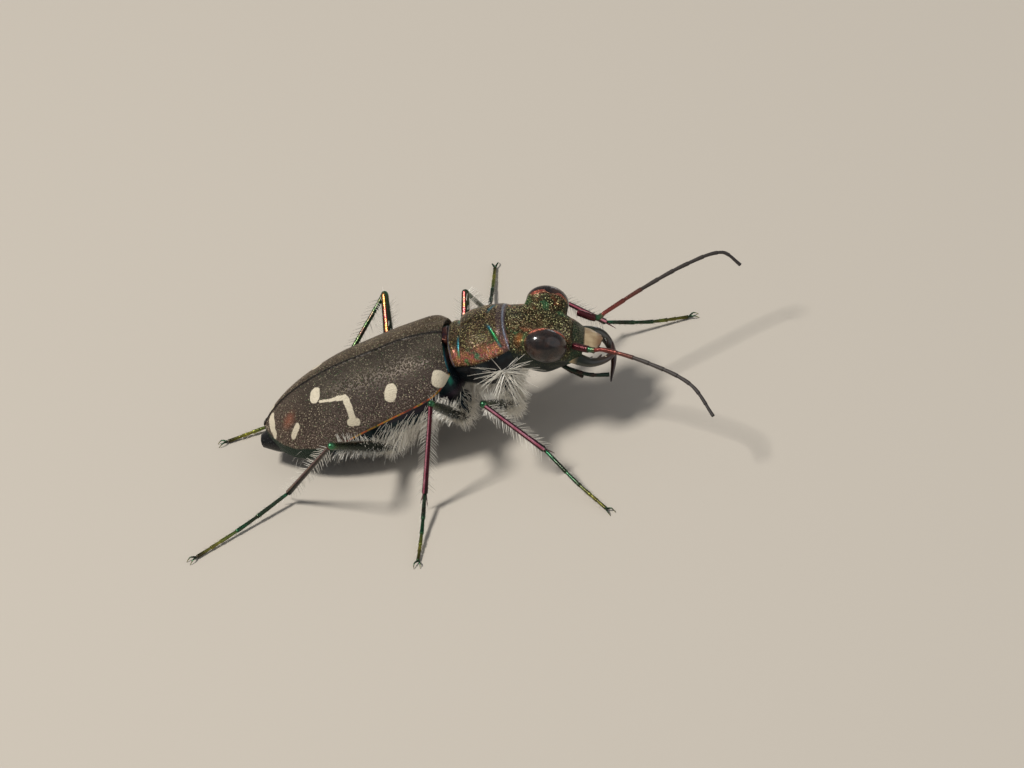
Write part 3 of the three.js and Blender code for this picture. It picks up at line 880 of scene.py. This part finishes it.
# %% [markdown]
# ## Jaws
# The jaws are long sickles with cream roots, red-brown tips and teeth on the inner edge, and
# at rest they cross. They could be sculpted. Here a horn follows a smooth line through a few
# measured places, so a jaw is opened or closed by moving those places.

# %% Mandibles
MANDIBLES = {
    "right": [(4.5, 0.7, -2.35), (5.2, 0.85, -2.85), (5.85, 0.5, -3.08), (5.95, -0.15, -2.95)],
    "left": [(4.5, 0.7, -2.35), (5.4, 0.9, -2.95), (5.65, 0.4, -3.65), (5.3, -0.38, -4.3)],
}
JAW_TEETH = ((0.3, 0.3), (0.45, 0.36), (0.6, 0.3))     # the way along the jaw, and the length


def on_side(points, side):
    return [Vector((x, y * SIDES[side], z)) for x, y, z in points]


def mandible(side):
    line = Line(on_side(MANDIBLES[side], side))
    blade = horn(line, rounded(lambda t: 0.25 * (1 - t) ** 0.75 + 0.02, 0.04), 24, 44, flat=0.8)
    teeth = []
    for t, long in JAW_TEETH:
        root = line.point(t)
        tip = root + Vector((0.08, -SIDES[side] * long, 0.02)) + line.along(t) * 0.12
        thin = rounded(lambda u: 0.11 * (1 - u) + 0.015, 0.05)
        teeth.append(horn(Line([root, tip]), thin, 12, 10))
    return joined([blade, *teeth])


jaw_finish = Finish("jaw_horn", Coat_Weight=0.5, Coat_Roughness=0.1)
jaw_along = jaw_finish.parts(jaw_finish.read("skin"))[1]
jaw_own = jaw_finish.read("own")
jaw_tone = jaw_finish.hues(jaw_along, [
    (0.0, (206, 186, 142)), (0.14, (184, 160, 116)), (0.24, (34, 46, 32)),
    (0.7, (52, 24, 16)), (1.0, (24, 12, 9))])
jaw_finish.feed(Base_Color=jaw_tone, Roughness=0.22 + jaw_finish.noise(jaw_own, 6) * 0.2)
jaw_finish.relief(jaw_finish.noise(jaw_finish.stretched(jaw_own, (1, 1, 3)), 5), 10)
for side in SIDES:
    piece(f"jaw_{side}", mandible(side), TRUNK, jaw_finish.material, "jaw", [f"mandible_{side}"])

# %% [markdown]
# ## Palps
# Under the jaws hang two pairs of palps, with which a beetle tastes. Palps, feelers and feet
# are all chains of joints, each swollen towards its end. They could be modelled joint by
# joint. One chain along a line is quicker, and a list of shares sets the joints' lengths.
# Each joint starts a little inside the one before it, so no gap shows.

# %% Palps
MAXILLARY_PALP = [(4.0, 0.62, -2.65), (4.45, 0.8, -3.0), (4.95, 0.82, -3.4), (5.5, 0.66, -3.75)]
LABIAL_PALP = [(3.8, 0.28, -2.75), (4.15, 0.36, -3.25), (4.5, 0.42, -3.65)]
SOCKET = 0.1         # the share of a joint's length that sits inside the joint before it


def chain(line, shares, radius, swell=0.22, around=12, rings=12):
    """Joints along a line; radius(t) is the thickness of the whole at t.

    In skin, the second part becomes the way along the whole, the third that along the joint.
    """
    forms, start = [], 0
    for share in shares:
        stop = min(start + share, 1)
        a, b = radius(start), radius(stop)
        rule = rounded(lambda u, a=a, b=b: (a + (b - a) * u) * (1 - swell + swell * u), 0.05, 0.85)
        form = horn(line, rule, around, rings, span=(max(start - share * SOCKET, 0), stop))
        skin = form.verts.layers.float_vector["skin"]
        for v in form.verts:
            turn_round, t, _ = v[skin]
            v[skin] = (turn_round, start + (stop - start) * t, t)
        forms.append(form)
        start = stop
    return joined(forms)


palp_finish = Finish("palp_dark", Roughness=0.25, Metallic=0.6)
palp_own = palp_finish.read("own")
palp_tone = palp_finish.mottled(palp_own, 3, (28, 46, 34), (60, 44, 36))
palp_finish.feed(Base_Color=palp_tone).relief(palp_finish.noise(palp_own, 12), 10)
for side in SIDES:
    for name, points, shares, size in (
            ("maxillary_palp", MAXILLARY_PALP, (0.14, 0.32, 0.24, 0.3), 0.085),
            ("labial_palp", LABIAL_PALP, (0.2, 0.45, 0.35), 0.075)):
        line = Line(on_side(points, side))
        piece(f"{name}_chain_{side}", chain(line, shares, lambda t, size=size: size), TRUNK,
              palp_finish.material, "palp", [f"{name}_{side}"])

# %% [markdown]
# ## Feelers
# A feeler has eleven joints: a thick scape, a short second joint and nine slim ones. The
# inner joints shine like copper, the outer ones are dull with fine down. The same chain
# makes them, and a ramp on the way along the whole feeler gives each joint its colour.

# %% Feelers
ANTENNAE = {
    "right": [(5.15, -0.94, 3.69), (5.88, -1.38, 3.7), (6.39, -1.6, 3.77), (8.06, -2.76, 3.7),
              (9.53, -3.9, 3.31), (10.21, -4.96, 2.55)],
    "left": [(5.26, 0.93, 3.76), (5.93, 0.84, 3.42), (6.27, 1.02, 3.48), (7.63, 1.82, 3.64),
             (9.31, 2.75, 3.72), (10.61, 3.26, 3.6), (11.19, 3.07, 3.02)],
}
FEELER_SHARES = (0.105, 0.04, 0.145, 0.11, 0.105, 0.095, 0.09, 0.085, 0.08, 0.07, 0.075)
feeler_radius = through([(0, 0.16), (0.1, 0.145), (0.12, 0.1), (0.3, 0.088), (0.7, 0.082),
                         (1, 0.066)])

feeler_finish = Finish("feeler_copper", Roughness=0.3)
feeler_own = feeler_finish.read("own")
_, feeler_along, feeler_joint = feeler_finish.parts(feeler_finish.read("skin"))
feeler_tone = feeler_finish.hues(feeler_along, [
    (0.0, (88, 34, 42)), (0.09, (84, 42, 44)), (0.12, (56, 104, 72)), (0.17, (136, 66, 58)),
    (0.36, (104, 64, 54)), (0.42, (56, 48, 43)), (1.0, (46, 40, 37))])
feeler_tone = feeler_finish.mix(feeler_joint.step(0.86, 1.0) * 0.7, feeler_tone, (24, 34, 26))
feeler_finish.feed(Base_Color=feeler_tone, Metallic=feeler_along.step(0.5, 0.3) * 0.75,
                   Roughness=0.26 + feeler_along.step(0.3, 0.5) * 0.3)
feeler_finish.relief(feeler_finish.noise(feeler_own, 24), 10)
for side in SIDES:
    feeler = chain(Line(ANTENNAE[side], 120), FEELER_SHARES, feeler_radius, 0.22, 14, 16)
    piece(f"feeler_{side}", feeler, STANDING, feeler_finish.material, "feeler",
          [f"antenna_{side}_{part}" for part in ("scape", "inner", "outer")])

# %% [markdown]
# ## Legs
# Each leg is a coxa under the trunk, a straight femur that climbs to the knee, a thin tibia
# with two spurs, and a foot of five joints with two claws. The real ones are far thinner
# than a solid may be, so each piece is a fine horn in the place of its solid. Knees, ankles
# and toes are places in the standing frame, and the feet end on the floor.

# %% Leg shapes
LEGS = {
    "front": {
        "root": (1.95, 0.6, -2.2), "base": (1.84, 1.12, -3.35), "thigh": 0.2,
        "right": [(1.82, -3.25, 3.5), (3.61, -3.57, 1.2), (5.7, -6.12, 0)],
        "left": [(4.08, 2.96, 3.21), (5.61, 3.82, 0.89), (8.54, 4.37, 0)],
    },
    "middle": {
        "root": (0.1, 0.6, -2.3), "base": (-0.02, 1.25, -3.1), "thigh": 0.19,
        "right": [(-0.01, -3.32, 3.97), (-0.98, -4.38, 0.72), (-1.27, -7.34, 0)],
        "left": [(0.85, 3.93, 3.27), (0.98, 6.12, 0.49), (1.03, 9.3, 0)],
    },
    "hind": {
        "root": (-2.3, 0.7, -2.4), "base": (-2.95, 1.45, -3.2), "thigh": 0.2,
        "right": [(-3.77, -4.48, 3.71), (-6.25, -2.7, 0.5), (-9.68, -5.02, 0)],
        "left": [(-2.33, 5.04, 2.98), (-5.11, 2.35, 0.6), (-8.85, 1.5, 0)],
    },
}
TARSOMERES = (0.36, 0.22, 0.17, 0.1, 0.15)   # the joints' shares of the foot
SHIN, FOOT = 0.105, 0.088                # half thicknesses
CLAW = 0.4
GLEAM = Vector((-0.2, -0.52, 0.83))      # the way to the brightest part of the sky
TO_STANDING = STANDING.inverted() @ TRUNK


def leg_joints(pair, side):
    leg = LEGS[pair]
    root, base = (TO_STANDING @ p for p in on_side((leg["root"], leg["base"]), side))
    knee, ankle, toe = (Vector(p) for p in leg[side])
    return root, base, knee, ankle, toe


def gleaming(form, ahead):
    """Keeps on each point, as the third part of skin, how near it is to the sky side."""
    skin = form.verts.layers.float_vector["skin"]
    sky_side = (GLEAM - ahead * GLEAM.dot(ahead)).normalized()
    bmesh.ops.recalc_face_normals(form, faces=form.faces)
    form.normal_update()
    for v in form.verts:
        v[skin] = (v[skin].x, v[skin].y, v.normal.dot(sky_side))
    return form


def coxa_form(root, base):
    cone = horn(Line([root, base]), rounded(lambda t: 0.5 - 0.2 * t, 0.3), 40, 30)
    lobe = horn(Line([base - (base - root).normalized() * 0.12, base + (base - root) * 0.12]),
                rounded(lambda t: 0.25, 0.5), 24, 16)
    return joined([cone, lobe])


def femur_form(base, knee, thigh):
    thick = through([(0, 0.75), (0.12, 0.9), (0.45, 1), (0.85, 0.78), (1, 0.72)])
    return gleaming(horn(Line([base, knee + (knee - base).normalized() * 0.1]),
                         rounded(lambda t: thigh * thick(t), 0.05), 24, 40),
                    (knee - base).normalized())


shin_thick = through([(0, 1.15), (0.06, 0.82), (0.5, 0.88), (0.9, 1.02), (1, 1.15)])


def tibia_form(knee, ankle):
    line = Line([knee, ankle])
    forms = [horn(line, rounded(lambda t: SHIN * shin_thick(t), 0.03), 16, 40)]
    down, side, _ = line.frame(0.5)
    for way in (-1, 1):
        root = ankle - down * 0.05 + side * 0.05 * way
        tip = ankle + down * 0.42 + side * 0.2 * way
        thin = rounded(lambda t: 0.032 * (1 - t) + 0.006, 0.05)
        forms.append(horn(Line([root, tip]), thin, 8, 8))
    return gleaming(joined(forms), down)


def foot_line(ankle, toe):
    rest = Vector((toe.x, toe.y, FOOT))
    bend = ankle.lerp(rest, 0.5)
    bend.z = max(FOOT * 1.3, ankle.z * 0.42)
    return Line([ankle, bend, rest])


def tarsus_form(ankle, toe):
    line = foot_line(ankle, toe)
    foot = chain(line, TARSOMERES, lambda t: FOOT * (1.05 - 0.25 * t), 0.3, 14, 14)
    rest = line.point(1)
    heading = line.along(1)
    heading.z = 0
    heading.normalize()
    aside = Vector((-heading.y, heading.x, 0))
    claws = []
    for way in (-1, 1):
        mid = rest + heading * CLAW * 0.5 + aside * CLAW * 0.26 * way + Vector((0, 0, 0.05))
        tip = rest + heading * CLAW * 0.95 + aside * CLAW * 0.3 * way
        tip.z = 0.012
        thin = rounded(lambda t: 0.035 * (1 - t) + 0.008, 0.05)
        claws.append(horn(Line([rest, mid, tip]), thin, 8, 12))
    return joined([foot, *claws])


for pair in LEGS:
    _, *joints = leg_joints(pair, "right")
    print(pair, "leg, mm:", [round((b - a).length, 2) for a, b in zip(joints, joints[1:])])

# %% [markdown]
# ## Finishes of the legs
# A leg's metal is dark, with one bright streak where it looks to the sky. On such a thin
# limb the streak is a painted highlight as well as a reflection, so it is kept as a measure
# on the points, and the change of hue along the limb is a ramp on the way along it.

# %% Leg finishes
def limb_finish(name, stops, fleck, rough, highlight_tones, strength=0.85):
    """Colours along a limb, with flecks, and a two-tone painted highlight where it looks to the sky.
    """
    limb = Finish(name, Metallic=0.85)
    own = limb.read("own")
    _, along, gleam = limb.parts(limb.read("skin"))
    patch = limb.noise(own, 1.9, 3)
    # Two tones in patches, laid as a painted highlight where the limb looks to the sky.
    hue = limb.mix(patch.step(0.42, 0.56), *highlight_tones)
    colour = limb.paint(limb.hues(along, stops), (patch.step(0.48, 0.62) * 0.6, fleck),
                        (gleam.step(0.86, 0.99) * strength, hue))
    limb.feed(Base_Color=colour, Roughness=rough + limb.noise(own, 9) * 0.12)
    return limb.relief(limb.noise(own, 16), 12).material


FEMUR_STOPS = [
    (0.0, (20, 26, 24)), (0.3, (26, 34, 30)), (0.65, (36, 46, 34)),
    (0.88, (60, 76, 48)), (1.0, (70, 130, 92))]
# Both femur finishes share one ramp; the left ones, on the far side, get a brighter copper painted
# highlight and lighter flecks, for the light that falls on them.
femur_green = limb_finish("femur_green", FEMUR_STOPS, (30, 36, 30), 0.22,
                          ((120, 98, 66), (110, 78, 70)), 0.55)
femur_copper_highlight = limb_finish("femur_copper_highlight", FEMUR_STOPS, (60, 50, 34), 0.2,
                           ((196, 128, 70), (190, 84, 86)), 0.75)
tibia_purple = limb_finish("tibia_purple", [
    (0.0, (58, 80, 58)), (0.06, (64, 24, 36)), (0.3, (72, 26, 40)),
    (0.75, (66, 28, 40)), (0.93, (46, 52, 46)), (1.0, (40, 92, 70))],
    (46, 20, 30), 0.2, ((238, 160, 178), (214, 118, 140)))
tibia_green = limb_finish("tibia_green", [
    (0.0, (48, 92, 60)), (0.5, (52, 62, 42)), (1.0, (44, 90, 66))],
    (70, 42, 46), 0.22, ((104, 130, 84), (150, 110, 96)), 0.4)
tibia_bronze = limb_finish("tibia_bronze", [
    (0.0, (120, 48, 52)), (0.08, (54, 44, 40)), (0.5, (48, 40, 36)),
    (0.93, (44, 50, 44)), (1.0, (40, 92, 70))],
    (40, 28, 32), 0.2, ((150, 118, 104), (130, 92, 96)), 0.7)
TIBIA_FINISHES = {
    ("front", "right"): tibia_purple, ("front", "left"): tibia_purple,
    ("middle", "right"): tibia_purple, ("middle", "left"): tibia_green,
    ("hind", "right"): tibia_bronze, ("hind", "left"): tibia_green,
}
# The gold-green stop towards the end of the foot is its own colour, brightened as a painted glint.
tarsus_green = limb_finish("tarsus_green", [
    (0.0, (50, 120, 84)), (0.2, (52, 60, 48)), (0.55, (40, 84, 56)),
    (0.8, (150, 146, 62)), (1.0, (40, 40, 32))], (58, 48, 42), 0.22,
    ((92, 150, 104), (110, 96, 74)), 0.5)

legs = {}
for pair in LEGS:
    for side in SIDES:
        root, base, knee, ankle, toe = leg_joints(pair, side)
        node = f"leg_{pair}_{side}"
        made = {
            "coxa": (coxa_form(root, base), coxa_blue, "under_blue"),
            "femur": (femur_form(base, knee, LEGS[pair]["thigh"]),
                      femur_green if side == "right" else femur_copper_highlight, "femur"),
            "tibia": (tibia_form(knee, ankle), TIBIA_FINISHES[pair, side], "tibia"),
            "tarsus": (tarsus_form(ankle, toe), tarsus_green, "tarsus"),
        }
        for part, (form, finish, slot) in made.items():
            legs[pair, side, part] = piece(f"{pair}_{part}_{side}", form, STANDING, finish, slot,
                                           [f"{node}_{part}"])

# %% [markdown]
# ## White hair
# Tiger beetles wear stiff white hairs on the flanks, the coxae and the legs. Blender's hair
# curves would be quicker, but they aren't a mesh, so each hair is a thin three-sided cone,
# cut across so that it can bend. Its root is drawn at random on its skin, with a fixed seed,
# and its map OFBake puts it on a tiny patch at its root's place on the skin's unwrap.

# %% Hair
BENDS = (0.25, 0.5, 0.75)
PATCH = 0.003        # the width of one hair's patch on the unwrap
OVER_FLOOR = 0.002
SUNK = 0.02          # how deep a hair is rooted
hair_finish = Finish("hair_white", Roughness=0.45)
hair_place = hair_finish.read("own")
hair_tone = hair_finish.mix(hair_finish.noise(hair_place, 0.8), (250, 248, 240), (214, 206, 190))
hair_finish.feed(Base_Color=hair_tone)


def triangles(mesh):
    """The faces cut into triangles of vertices, each from its lowest vertex.

    The ball operator lists its faces in another order in each run, so they are sorted here:
    the same draws then find the same places.
    """
    rings = []
    for face in mesh.polygons:
        ring = list(face.vertices)
        first = ring.index(min(ring))
        rings.append(ring[first:] + ring[:first])
    return np.array([(ring[0], b, c) for ring in sorted(rings)
                     for b, c in zip(ring[1:], ring[2:])])


def roots_on(skin_object, count, where, random):
    """Random places on a mesh, with their normals, own places and places on the unwrap."""
    mesh = skin_object.data
    tris = triangles(mesh)

    def column(attribute, kind):
        values = np.empty(len(mesh.vertices) * 3)
        attribute.foreach_get(kind, values)
        return values.reshape(-1, 3)

    spots = column(mesh.vertices, "co") / MM
    own = column(mesh.attributes["own"].data, "vector")
    unwrap = column(mesh.attributes["skin"].data, "vector")
    corners = spots[tris]
    cross = np.cross(corners[:, 1] - corners[:, 0], corners[:, 2] - corners[:, 0])
    area = np.linalg.norm(cross, axis=1)
    middle = own[tris].mean(axis=1)
    way = unwrap[tris].mean(axis=1)
    normal = cross / np.maximum(area, 1e-12)[:, None]
    weight = area * where(middle, normal, way)
    pick = random.choice(len(tris), count, p=weight / weight.sum())
    share = random.dirichlet((1, 1, 1), count)
    root = (corners[pick] * share[:, :, None]).sum(axis=1)
    return root, normal[pick], middle[pick], way[pick]


def bristle():
    """One straight bristle, one long and one thick, cut across so that it can bend."""
    form = bmesh.new()
    bmesh.ops.create_cone(form, cap_ends=True, segments=3, radius1=1, radius2=0.3, depth=1)
    bmesh.ops.translate(form, verts=form.verts, vec=(0, 0, 0.5))
    for height in BENDS:
        bmesh.ops.bisect_plane(form, geom=form.verts[:] + form.edges[:] + form.faces[:],
                               plane_co=(0, 0, height), plane_no=(0, 0, 1))
    form.verts.index_update()
    points = np.array([v.co for v in form.verts])
    faces = [[v.index for v in face.verts] for face in form.faces]
    form.free()
    return points, faces


BRISTLE, BRISTLE_FACES = bristle()
print("one bristle:", len(BRISTLE_FACES), "faces")


def hair_mesh(name, root, aim, droop, long, thick, unwrap):
    """Bristles that start at their roots and bend towards droop, all in one mesh."""
    count, per = len(root), len(BRISTLE)
    aim = aim / np.linalg.norm(aim, axis=1)[:, None]
    side = np.cross(aim, [0.31, 0.52, 0.79])
    side /= np.linalg.norm(side, axis=1)[:, None]
    lift = np.cross(aim, side)
    out_side, out_lift, t = BRISTLE.T[:, None, :, None]
    points = (root[:, None] + (aim * long[:, None])[:, None] * t
              + (droop * long[:, None])[:, None] * t * t
              + (side[:, None] * out_side + lift[:, None] * out_lift) * thick)
    points[..., 2] = np.maximum(points[..., 2], OVER_FLOOR)
    starts = (np.arange(count) * per).tolist()
    faces = [[s + i for i in face] for s in starts for face in BRISTLE_FACES]
    mesh = bpy.data.meshes.new(name)
    mesh.from_pydata((points.reshape(-1, 3) * MM).tolist(), [], faces)
    own = mesh.attributes.new("own", "FLOAT_VECTOR", "POINT")
    own.data.foreach_set("vector", points.reshape(-1))
    bake = mesh.uv_layers.new(name="OFBake")
    loops = np.empty(len(mesh.loops), np.int32)
    mesh.loops.foreach_get("vertex_index", loops)
    patch = (BRISTLE[loops % per][:, (0, 2)] * (0.5, 1) + (0.5, 0)) * PATCH
    bake.data.foreach_set("uv", (unwrap[loops // per, :2] * 0.99 + patch).reshape(-1))
    mesh.materials.append(hair_finish.material)
    made = bpy.data.objects.new(name, mesh)
    bpy.context.scene.collection.objects.link(made)
    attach(made, "root")
    print(name, count, "hairs")
    return made


def coat(name, skin_object, count, where, lie, long, thick, droop, spread, seed,
         stand=0.5):
    """Hair on a skin: where weighs its places, and lie is the way that the hair leans."""
    random = np.random.default_rng(seed)
    root, normal, own, way = roots_on(skin_object, count, where, random)
    lean = lie(own, random) if callable(lie) else np.tile(np.array(lie, float), (count, 1))
    aim = normal * stand + lean + random.normal(0, spread, (count, 3))
    lengths = long[0] + (long[1] - long[0]) * random.random(count)
    sag = np.tile(np.array(droop, float), (count, 1))
    return hair_mesh(name, root - normal * SUNK, aim, sag, lengths, thick, way)


def fringe(name, line, radius, count, turns, long, lean, seed, span=(0.06, 0.97),
           thick=0.016):
    """Bristles at even steps along a limb, in rows at the given turns round it."""
    random = np.random.default_rng(seed)
    root, aim, way = [], [], []
    for k in range(count):
        t = span[0] + (span[1] - span[0]) * (k + random.random() * 0.6) / count
        ahead, side, lift = line.frame(t)
        for turn_round in turns:
            angle = turn_round + random.normal(0, 0.22)
            out = side * math.cos(angle) + lift * math.sin(angle)
            root.append(STANDING @ (line.point(t) + out * radius(t) * 0.8))
            aim.append(out + ahead * (lean + random.normal(0, 0.12)))
            way.append(((angle / math.tau + 0.5) % 1, t, 0))
    lengths = long[0] + (long[1] - long[0]) * random.random(len(root))
    sag = np.tile(np.array((0, 0, -0.06)), (len(root), 1))
    return hair_mesh(name, np.array(root), np.array(aim), sag, lengths, thick, np.array(way))


def ramp(low, high, x):
    """The same climb as smooth, for many numbers at once."""
    t = np.clip((x - low) / (high - low), 0, 1)
    return t * t * (3 - 2 * t)


# %% [markdown]
# ## Hair of the trunk
# A star of stiff bristles stands on each flank before the front coxa, and a shaggy coat
# covers the breast, the flank of the hind thorax and the sides of the belly. A coat could be
# combed by hand. Here a rule says how likely a root is at each place, and one direction, or
# a rule for it, says which way the hair leans.

# %% Coats of the trunk
FAN = Vector((2.25, 1.25, -1.73))
NOWHERE = 1e-6       # a weight so small that no root falls there


def front_patch(own, normal, way):
    away = np.hypot(own[:, 0] - FAN.x, own[:, 2] - FAN.z)
    return np.exp(-((away / 0.16) ** 2)) + 1e-9


def star(own, random):
    """All ways, in a plane that leans with the flank, away from the middle of the patch."""
    turn_round = random.random(len(own)) * math.tau
    inward = -np.sign(own[:, 1])
    first = np.array((0.91, 0, -0.41))
    second = np.array((0.2, 0, 0.48)) + np.outer(inward, (0, 0.42, 0))
    return first * np.cos(turn_round)[:, None] + second * np.sin(turn_round)[:, None]


def chest_hair(own, normal, way):
    x, y, z = own.T
    return ramp(-1.9, -2.2, z) * ramp(1.35, 1.0, x) + 0.25 * ramp(-2.2, -2.5, z) + NOWHERE


def flank_hair(own, normal, way):
    x, y, z = own.T
    low = ramp(-1.6, -1.95, z) * ramp(-3.1, -2.2, x) * ramp(0.6, 1.2, np.abs(y))
    return low * (0.3 + ramp(-0.3, -1.1, x)) + NOWHERE


def belly_hair(own, normal, way):
    x, y, z = own.T
    along = ramp(-2.2, -2.8, x) * ramp(-6.6, -5.6, x)
    return ramp(-2.0, -2.3, z) * along * ramp(0.7, 1.3, np.abs(y)) + NOWHERE


coat("hair_fan", prothorax, 150, front_patch, star, long=(0.75, 1.4), thick=0.018,
     droop=(0, 0, -0.06), spread=0.08, seed=2, stand=0.45)
coat("hair_chest", prothorax, 320, chest_hair, (-0.2, 0, -0.8), long=(0.35, 0.75), thick=0.013,
     droop=(0, 0, -0.2), spread=0.22, seed=3)
coat("hair_flank", underbody, 560, flank_hair, (-0.55, 0, -0.7), long=(0.5, 0.95), thick=0.013,
     droop=(-0.12, 0, -0.22), spread=0.16, seed=4, stand=0.3)
coat("hair_belly", underbody, 300, belly_hair, (-0.6, 0, -0.4), long=(0.25, 0.5), thick=0.009,
     droop=(-0.1, 0, -0.2), spread=0.2, seed=5)

# %% [markdown]
# ## Bristles of the legs
# The coxae and the roots of the femora carry dense pale hair that lies close. The shins
# have rows of stiff bristles at even steps, which stand off at half a right angle and point
# to the foot. Drawn at random they would clump, so a rule sets them one by one along the
# limb, in two rows that stand at its outline in the photograph.

# %% Coats of the legs
HAIRS = {"front": (1500, 900), "middle": (500, 340), "hind": (500, 340)}  # on coxa, on femur


def everywhere(own, normal, way):
    return np.ones(len(own))


def near_root(own, normal, way):
    return 0.02 + ramp(0.62, 0.1, way[:, 1])


def edge_turns(line):
    """The two turns round a limb at which it meets its outline in the camera's picture."""
    ahead, side, lift = line.frame(0.5)
    out = ahead.cross(back)
    angle = math.atan2(out.dot(lift), out.dot(side))
    return angle, angle + math.pi


for index, (pair, side) in enumerate((p, s) for p in LEGS for s in SIDES):
    _, base, knee, ankle, toe = leg_joints(pair, side)
    thigh = np.array((knee - base).normalized())
    thick = LEGS[pair]["thigh"]
    name = f"{pair}_{side}"
    on_coxa, on_femur = HAIRS[pair]
    coat(f"hair_coxa_{name}", legs[pair, side, "coxa"], on_coxa, everywhere, (0.1, 0, -0.5),
         long=(0.22, 0.48), thick=0.014, droop=(0, 0, -0.2), spread=0.25, seed=20 + index)
    coat(f"hair_femur_{name}", legs[pair, side, "femur"], on_femur, near_root, thigh,
         long=(0.18, 0.36), thick=0.013, droop=(0, 0, -0.1), spread=0.15, seed=30 + index,
         stand=0.6)
    femur, shin, paw = Line([base, knee]), Line([knee, ankle]), foot_line(ankle, toe)
    fringe(f"fringe_femur_{name}", femur, lambda t, thick=thick: thick, 40, edge_turns(femur),
           long=(0.24, 0.46), lean=0.8, seed=60 + index, span=(0.2, 0.9))
    fringe(f"fringe_tibia_{name}", shin, lambda t: SHIN, 28, edge_turns(shin),
           long=(0.3, 0.42), lean=0.95, seed=40 + index)
    fringe(f"fringe_tarsus_{name}", paw, lambda t: FOOT, 12, (*edge_turns(paw), math.pi / 2),
           long=(0.1, 0.16), lean=1.6, seed=50 + index, span=(0.05, 0.92),
           thick=0.01)

# %% [markdown]
# ## Light and floor
# A pale floor and three large soft lamps, as in a museum's photo studio. An image of a sky
# could light the beetle too, but lamps say plainly where each gleam comes from. The key lamp
# stands high to the left of the camera, where the sun of the photograph was.

# %% Stage
def lamp(name, toward, distance, size, power, colour=(1, 1, 1)):
    """A round soft lamp that looks at the trunk; distance and size in metres, power in watts."""
    data = bpy.data.lights.new(name, "AREA")
    data.shape = "DISK"
    data.size = size
    data.energy = power
    data.color = colour
    lamp_object = bpy.data.objects.new(name, data)
    bpy.context.scene.collection.objects.link(lamp_object)
    aim_at = TRUNK.translation * MM
    direction = Vector(toward).normalized()
    lamp_object.matrix_world = (Matrix.Translation(aim_at + direction * distance)
                                @ direction.to_track_quat("Z", "Y").to_matrix().to_4x4())


lamp("key_lamp", right * -0.62 + up * 0.55 + back * 0.56, 0.3, 0.07, 0.85, (1, 0.97, 0.92))
lamp("fill_lamp", right * 0.7 + up * 0.3 + back * 0.7, 0.35, 0.45, 0.3, (0.92, 0.96, 1))
lamp("back_lamp", right * 0.3 + up * 0.5 + back * -0.8, 0.35, 0.16, 0.34)

SKY = 0.22
FLOOR_HALF = 1.5
world = bpy.data.worlds.new("studio")
bpy.context.scene.world = world
world.use_nodes = True
sky = world.node_tree.nodes["Background"]
sky.inputs["Color"].default_value = (0.93, 0.95, 1, 1)
sky.inputs["Strength"].default_value = SKY

floor_form = bmesh.new()
bmesh.ops.create_grid(floor_form, x_segments=1, y_segments=1, size=FLOOR_HALF)
floor_mesh = bpy.data.meshes.new("floor")
floor_form.to_mesh(floor_mesh)
floor_form.free()
floor_finish = Finish("floor_pale", Roughness=0.85)
floor_finish.shader.inputs["Base Color"].default_value = tone(192, 184, 172)
floor_mesh.materials.append(floor_finish.material)
floor = bpy.data.objects.new("floor", floor_mesh)
bpy.context.scene.collection.objects.link(floor)
bpy.context.scene.view_settings.view_transform = "Standard"
print("floor:", FLOOR_HALF * 2, "m wide, sky strength", SKY)
